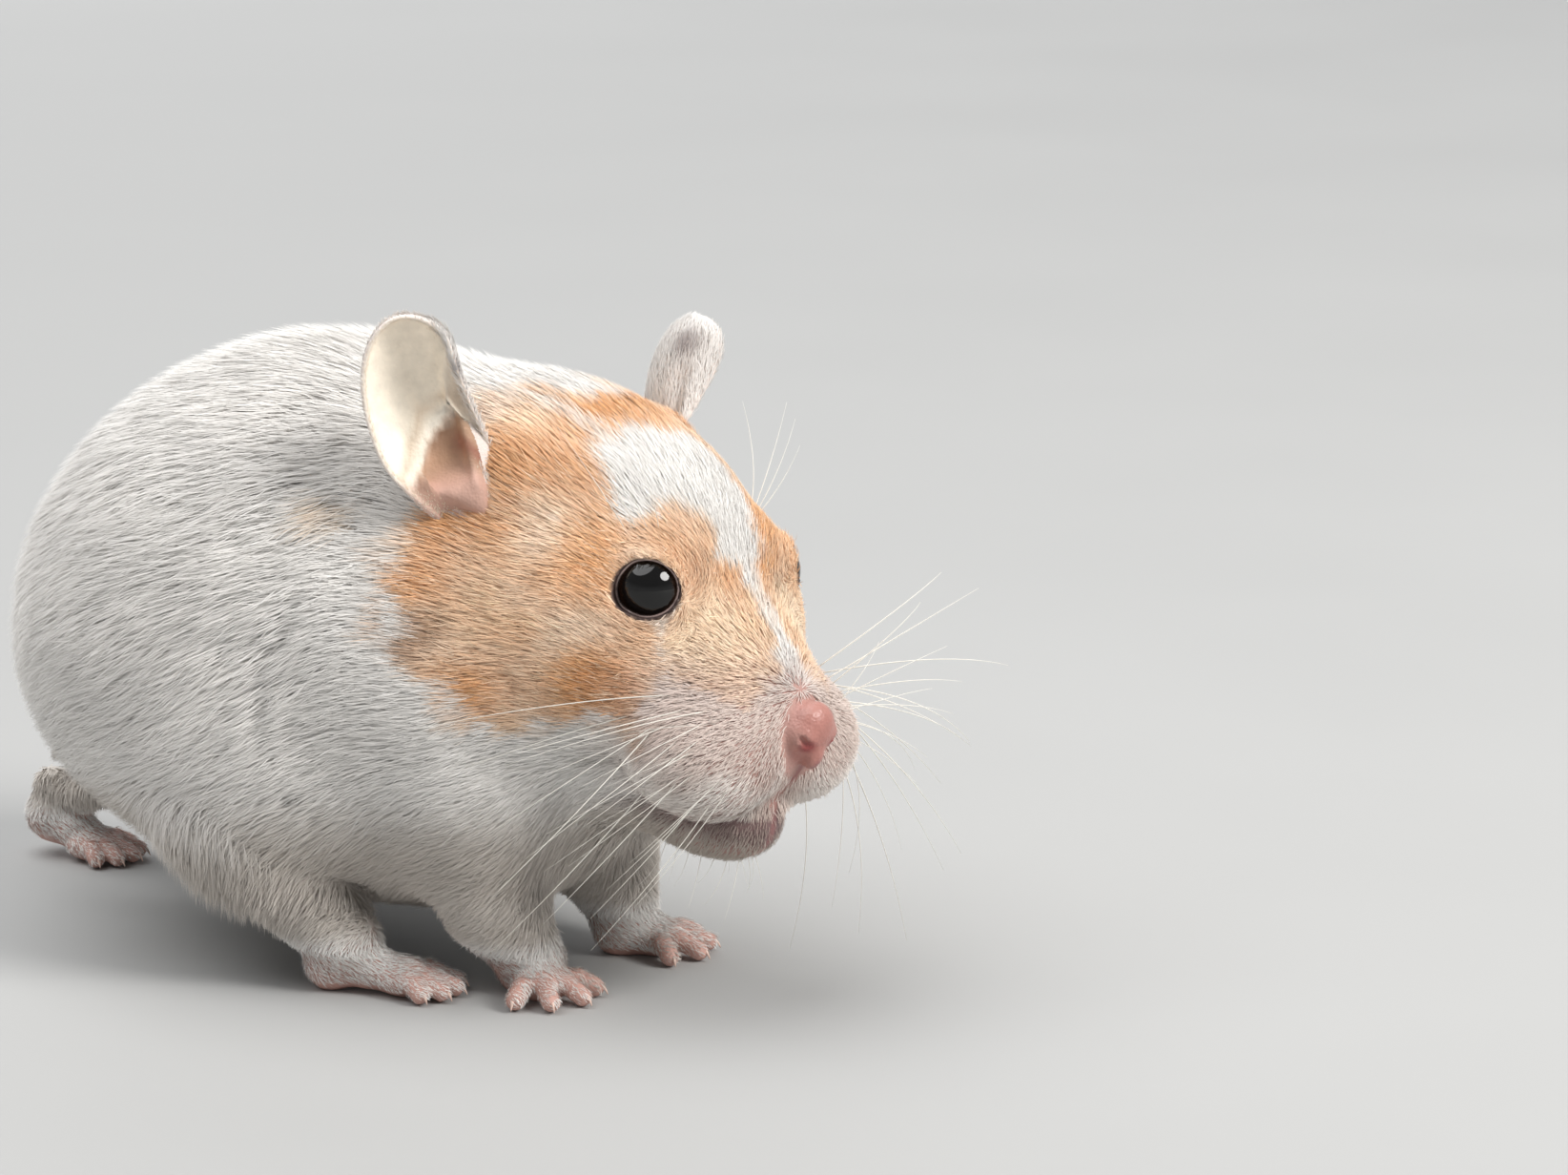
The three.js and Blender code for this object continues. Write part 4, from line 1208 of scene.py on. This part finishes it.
# ---------------------------------------------------------------- small pieces
def make_eye(s, material):
    """The eyeball, near black, with a slightly raised cornea."""
    rings, around = 40, 56
    bulge = 0.1  # how far the cornea stands out
    polar = np.linspace(0, math.pi, rings + 1)[1:-1]
    turnings = np.arange(around) * 2 * math.pi / around
    a, b = np.meshgrid(polar, turnings, indexing="ij")
    r = EYE_R + bulge * smooth(math.radians(48), 0, a)
    local = np.stack([r * np.sin(a) * np.cos(b), r * np.sin(a) * np.sin(b), r * np.cos(a)], -1).reshape(-1, 3)
    grid = np.arange(len(local)).reshape(rings - 1, around)
    after = np.roll(grid, -1, axis=1)
    quads = np.stack([grid[:-1], grid[1:], after[1:], after[:-1]], -1).reshape(-1, 4)
    top, bottom = len(local), len(local) + 1
    tris = np.concatenate([
        np.stack([np.full(around, top), grid[0], after[0]], 1),
        np.stack([np.full(around, bottom), after[-1], grid[-1]], 1),
    ])
    local = np.concatenate([local, [[0, 0, EYE_R + bulge], [0, 0, -EYE_R]]])
    angle = np.degrees(np.arccos(np.clip(local[:, 2] / np.linalg.norm(local, axis=1), -1, 1)))
    colours = np.tile(srgb(9, 8, 8), (len(local), 1))
    colours = mix(colours, srgb(52, 34, 24), np.exp(-((angle - 56) / 7) ** 2))  # a brown ring near the lids
    name = "eye_ball_right" if s < 0 else "eye_ball_left"
    ball = dressed(make_mesh(name, place(eye_frame(s), local), quads, tris, colours), material, "eye")
    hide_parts("eye_right" if s < 0 else "eye_left")


def lid_rims(material):
    """The wet edge of the lids, a thin ring round each eye's opening; its pale colour is partly the lid
    margin's own and partly a painted reflection of the tear film.
    """
    phi = np.linspace(0, 2 * math.pi, 73)
    inset = 0.985  # how far in from the opening's edge it runs
    paths = []
    for s in SIDES:
        f = LID_AHEAD + np.where(np.cos(phi) > 0, LID_WIDE[1], LID_WIDE[0]) * np.cos(phi)
        u = LID_HIGH * np.sin(phi) - CORNER_DROP * smooth(1.2, 3.2, f - LID_AHEAD)
        f, u = f * inset, u * inset
        out = np.sqrt(np.maximum((EYE_R + 0.06) ** 2 - f * f - u * u, 0.3))
        paths.append(place(eye_frame(s), np.stack([f, u, out], 1)))
    rims = make_mesh("lid_rims", *tube_mesh(np.array(paths), np.full((2, len(phi)), 0.13), 8))
    dressed(rims, material, "bare_skin")


def make_claws(material):
    t = np.linspace(0, 1, 7)
    paths = []
    for name, foot in FEET.items():
        for root, ahead, length in digit_rays(name):
            far = length - 0.25 + 0.95 * t
            x, y = root[:, None] + ahead[:, None] * far
            z = 1.12 + 0.22 * np.sin(t * 2.2) - 0.95 * t ** 2
            paths.append(place(foot_home(foot), np.stack([x, y, z], 1)))
    radii = np.tile(np.interp(t, [0, 0.5, 1], [0.28, 0.2, 0.05]), (len(paths), 1))
    claws = make_mesh("claws", *tube_mesh(np.array(paths), radii, 8))
    dressed(claws, material, "bare_skin")


# how far the whiskers may reach from the middle of the frame
WHISKER_HIGH, WHISKER_LOW = np.array([37.5, 63, 76]), np.array([-37.5, -63, 0.3])


def make_whiskers(material):
    """On the pads, over the eyes and on the chin. Those on its left are longer and point ahead."""
    roots, ways, lengths, bends = [], [], [], []

    def whisker(root, way, length, bend):
        roots.append(root)
        ways.append(way)
        lengths.append(length)
        bends.append(bend)

    for s in SIDES:
        for n in range(24):  # on the whisker pads, in rows from the top down
            down = n / 23
            column = n * 7 % 5 / 4
            steep = math.radians(lerp(60 if s > 0 else -6, -70, down) + rng.uniform(-5, 5))
            lean = math.radians(rng.uniform(20, 56) if s > 0 else rng.uniform(-52, -6))
            way = [s * math.cos(steep) * math.cos(lean), -math.cos(steep) * math.sin(lean), math.sin(steep)]
            length = rng.uniform(9, 13) + (15 if s > 0 else 9) * column * rng.uniform(0.75, 1.0)
            whisker([s * 8.6, -13.8 + 5.6 * column, -7.2 - 7.4 * down], way, length, [0, 0.22, -0.24])
        for n in range(4):  # over the eyes
            way = [s * 0.55, -0.15 + 0.2 * n, 0.8]
            whisker([s * (7.2 + 0.8 * n), 1.2 + 0.7 * n, 4.8], way, rng.uniform(8, 12), [0, 0.25, 0.0])
        for n in range(7):  # on the chin
            way = [s * 0.35, -0.35, -0.85]
            whisker([s * (1.2 + 0.5 * n), -12.5 + 1.1 * n, -23.5], way, rng.uniform(3.5, 6.5), [0, 0.3, 0.0])
    starts = place(HEAD, roots)
    for _ in range(6):  # onto the skin
        slope = gradient(field_at, starts)
        starts = starts - np.clip(field_at(starts)[:, None] * slope, -1.5, 1.5)
    ways, bends, lengths = unit(np.array(ways)) @ HEAD[1].T, np.array(bends) @ HEAD[1].T, np.array(lengths)
    t = np.linspace(0, 1, 15)
    straight = ways[:, None] * (lengths[:, None] * t - 0.3)[..., None]
    curl = rng.uniform(0.3, 1.5, len(starts))[:, None, None]
    paths = starts[:, None] + straight + bends[:, None] * (lengths[:, None] * t ** 2)[..., None] * curl
    room = np.where(paths[:, -1] > starts, WHISKER_HIGH - starts, starts - WHISKER_LOW)
    shorter = np.min(room / np.maximum(np.abs(paths[:, -1] - starts), 1e-6), axis=1)
    paths = starts[:, None] + (paths - starts[:, None]) * np.clip(shorter, 0, 1)[:, None, None]
    paths[:, :, 2] = np.maximum(paths[:, :, 2], WHISKER_LOW[2])
    radii = np.interp(lengths, [4, 20], [0.03, 0.07])[:, None] * np.interp(t, [0, 0.3, 1], [1.0, 0.85, 0.22])
    dressed(make_mesh("whiskers", *tube_mesh(paths, radii, 5)), material, "white_coat")


# ---------------------------------------------------------------- putting it together
def build_animal():
    """The skin with its ears as one piece, then the coat on it."""
    vertices, quads = build_skin()
    body_faces = len(quads)
    points, cells = [vertices], [quads]
    normals, colours = [vertex_normals(vertices, quads)], [skin_colour(vertices)]
    ears = {}
    for name, ear in EARS.items():
        ear_points, ear_quads, local, side, reach = make_ear(ear)
        first = sum(len(p) for p in points)
        ears[name] = dict(first=first, local=local, side=side, reach=reach)
        points.append(ear_points)
        cells.append(ear_quads + first)
        normals.append(vertex_normals(ear_points, ear_quads))
        colours.append(ear_colour(ear, local, side, reach))
    vertices, quads, normals, colours = (np.concatenate(part) for part in (points, cells, normals, colours))
    q = to_local(HEAD, vertices)
    lips = smooth(-17.2, -18.2, q[:, 2]) * smooth(-2, -6, q[:, 1])
    gloss = 0.75 * smooth(0.02, 0.2, nose_pad(q)) + 0.5 * lips + 0.8 * smooth(3.95, 3.7, eye_distance(q))
    skin = make_mesh("skin", vertices, quads, colours=colours, gloss=np.clip(gloss, 0, 1))
    dressed(skin, skin_material(), "bare_skin")
    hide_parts(*[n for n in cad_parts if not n.startswith("eye")])
    places = unwrap(skin)
    level = Level(*ROOM, 1.0)
    ginger, white = coat_material("ginger_coat", 0.6, 0.12), coat_material("white_coat", 0.62, 0.15)
    grow_all(vertices, quads[:body_faces], normals, places[:body_faces], level, ginger, white)
    grow_ears(vertices, quads[body_faces:], normals, places[body_faces:], level, white, ears)


def grow_all(vertices, quads, normals, places, level, ginger, white):
    """The coat of head, body and legs."""
    density = hair_density(vertices, normals) * FEWER
    points, uv, at_roots = scatter(vertices, quads, places, density)
    q = to_local(HEAD, points)
    colours = shade_tufts(coat_colour(points), ginger_amount(points, q))
    length = hair_length(points)
    roots = (points, unit(at_roots(normals)), uv, colours, length)
    on_leg = (limb_weight(points) > 0.5) | (points[:, 2] < 6)
    on_head = (q[:, 1] < 20) & ~on_leg
    on_face = on_head & (length < 1.9)
    for name, chosen, material, slot_name, lock_size, pull in [
        ("coat_face", on_face, ginger, "ginger_coat", 0.7, 0.35),
        ("coat_head", on_head & ~on_face, ginger, "ginger_coat", 1.0, 0.34),
        ("coat_body", ~on_head & ~on_leg, white, "white_coat", 1.8, 0.24),
        ("coat_legs", on_leg, white, "white_coat", 1.2, 0.28),
    ]:
        grow_coat(name, chosen, roots, level, material, slot_name, lock_size, pull)


def grow_ears(vertices, quads, normals, places, level, material, ears):
    """Short hair on the back and rim of each ear, longer on its front edge."""
    buried = level(vertices)[0] < 0.2
    everything = []
    for name, made in ears.items():
        ear, local, side, reach = EARS[name], made["local"], made["side"], made["reach"]
        first = made["first"]
        mine = slice(first, first + len(local))
        front_edge = smooth(1.8, 3.6, local[:, 0] * ear["front"]) * smooth(0.7, 0.9, reach)
        low_rim = smooth(-5.0, -8.0, local[:, 2]) * smooth(0.8, 0.95, reach)
        density = np.where(side < 0.4, 30.0 * smooth(1.0, 0.93, reach), 16 * smooth(0.88, 0.98, reach))
        density = np.maximum(density, 40 * np.maximum(front_edge, low_rim)) * ~buried[mine] * FEWER
        faces = ((quads >= mine.start) & (quads < mine.stop)).all(1)
        points, uv, at_roots = scatter(vertices[mine], quads[faces] - first, places[faces], density)
        lean = unit(at_roots(normals[mine]))
        inner, edge, far = at_roots(side), at_roots(front_edge), at_roots(reach)
        at = to_local(ear_home(ear), points)
        axes = ear_home(ear)[1]
        along = at * [0.5, 0, 0] @ axes.T + axes[:, 2] * 6.0 - ear["front"] * axes[:, 0] * 2.0 * edge[:, None]
        along = along_skin(along, lean)
        length = np.where(inner < 0.4, lerp(1.2, 0.3, smooth(0.7, 0.93, far)), 0.4)
        length = (length * (1 + 1.8 * edge) * rng.uniform(0.7, 1.25, len(points)))[:, None]
        along = swung(along, lean, rng.normal(0, 0.2, len(points))[:, None])
        lift = np.where(inner < 0.4, 0.2, 0.12)[:, None] * lean
        middle, tip = points + length * (0.5 * along + lift), points + length * (along + 1.2 * lift)
        path = np.stack([points - lean * 0.03, middle, tip], 1)
        colours = np.tile(srgb(246, 242, 238), (len(points), 1))
        colours = mix(colours, srgb(232, 216, 196), smooth(0.4, 0.8, inner) * (1 - edge))
        if name == "left":  # the grey patch on its back
            spot = smooth(0, 0.9, blob(at, [-2.3, 3.0, 5.6], [1.8, 3.4, 2.2]))
            colours = mix(colours, srgb(150, 136, 134), 0.75 * spot)
        else:  # the dark streak at the front edge
            streak = smooth(0, 0.7, blob(at, [4.2, -0.2, 3.4], [1.3, 1.8, 1.9]))
            colours = mix(colours, srgb(104, 100, 108), 0.6 * streak)
        colours = colours * rng.normal(1, 0.05, (len(points), 1))
        width = np.interp(length[:, 0], [0.5, 3], [0.09, 0.16])
        everything.append((path, np.cross(lean, along), width, np.clip(colours, 0, 1), uv))
    piece = ribbon(*(np.concatenate(part) for part in zip(*everything)), "coat_ears")
    dressed(piece, material, "ear_skin")


def build_small_pieces():
    eye = eye_material()
    for s in SIDES:
        make_eye(s, eye)
    wet = dict(Specular_IOR_Level=0.6, Coat_Weight=0.6, Coat_Roughness=0.08)
    # the rim's pale pink is partly its own colour, partly a painted reflection of the tear film
    lid_rims(plain_material("lid_rim", srgb(188, 162, 156), 0.18, 0.2, 1800.0, **wet))
    make_claws(plain_material("claw", srgb(226, 196, 182), 0.32, 0.08, 1500.0, Specular_IOR_Level=0.5))
    make_whiskers(plain_material("whisker", srgb(240, 236, 226), 0.4, 0.05, 500.0, Specular_IOR_Level=0.5))


def aimed(name, data, way, far=0.0):
    """A lamp that shines against that direction, from that far away in metres."""
    lamp = bpy.data.objects.new(name, data)
    bpy.context.scene.collection.objects.link(lamp)
    way = Vector(way)
    lamp.rotation_euler = way.to_track_quat("Z", "Y").to_euler()
    if far:
        lamp.location = way.normalized() * far + Vector((0, 0, 0.03))


def build_stage():
    """A pale floor, a soft key and fill, an even sky and a backdrop that is paler near the horizon."""
    size = 3000.0
    corners = np.array([[-size, -size, 0], [size, -size, 0], [size, size, 0], [-size, size, 0.0]])
    floor = make_mesh("floor", corners, np.array([[0, 1, 2, 3]]))
    grey = (0.42, 0.42, 0.415)
    floor.data.materials.append(plain_material("floor", grey, 0.75, 0.015, 12.0, Specular_IOR_Level=0.2))
    for name, way, far, across, power, colour in [
        ("key", (-0.02, -0.78, 0.62), 1.1, 0.5, 11.0, (1.0, 0.985, 0.96)),
        ("fill", (0.75, 0.65, 0.5), 1.6, 1.2, 5.0, (0.97, 0.985, 1.0)),
    ]:
        data = bpy.data.lights.new(name, "AREA")
        data.shape, data.size, data.energy, data.color = "DISK", across, power, colour
        aimed(name, data, way, far)
    sky = bpy.data.lights.new("sky", "SUN")
    sky.energy, sky.angle = 2.5, math.radians(60)
    aimed("sky", sky, (-0.15, 0.35, 1.0))
    world = bpy.data.worlds.new("room")
    bpy.context.scene.world = world
    world.use_nodes = True
    nodes, link = world.node_tree.nodes, world.node_tree.links.new
    where, split, ramp = (nodes.new("ShaderNode" + kind) for kind in ("TexCoord", "SeparateXYZ", "ValToRGB"))
    link(where.outputs["Generated"], split.inputs["Vector"])
    link(split.outputs["Z"], ramp.inputs["Fac"])
    low, high = ramp.color_ramp.elements
    low.position, low.color = 0.02, (0.56, 0.565, 0.57, 1)
    high.position, high.color = 0.3, (0.27, 0.275, 0.28, 1)
    link(ramp.outputs["Color"], nodes["Background"].inputs["Color"])
    bpy.context.scene.view_settings.view_transform = "Standard"


def build_camera():
    """The picture's own view, from its right and in front."""
    data = bpy.data.cameras.new("camera")
    data.sensor_width, data.sensor_fit, data.lens = 36.0, "HORIZONTAL", 108.39
    data.clip_start, data.clip_end = 0.02, 20.0
    camera = bpy.data.objects.new("camera", data)
    bpy.context.scene.collection.objects.link(camera)
    right, up, back = (0.45399, -0.89101, 0.0), (0.19285, 0.09826, 0.97630), (-0.86989, -0.44323, 0.21644)
    facing = Matrix((right, up, back)).transposed().to_4x4()
    camera.matrix_world = Matrix.Translation(Vector((-382.78, -238.45, 135.03)) * MM) @ facing
    bpy.context.scene.camera = camera


build_camera()
build_stage()
build_animal()
build_small_pieces()
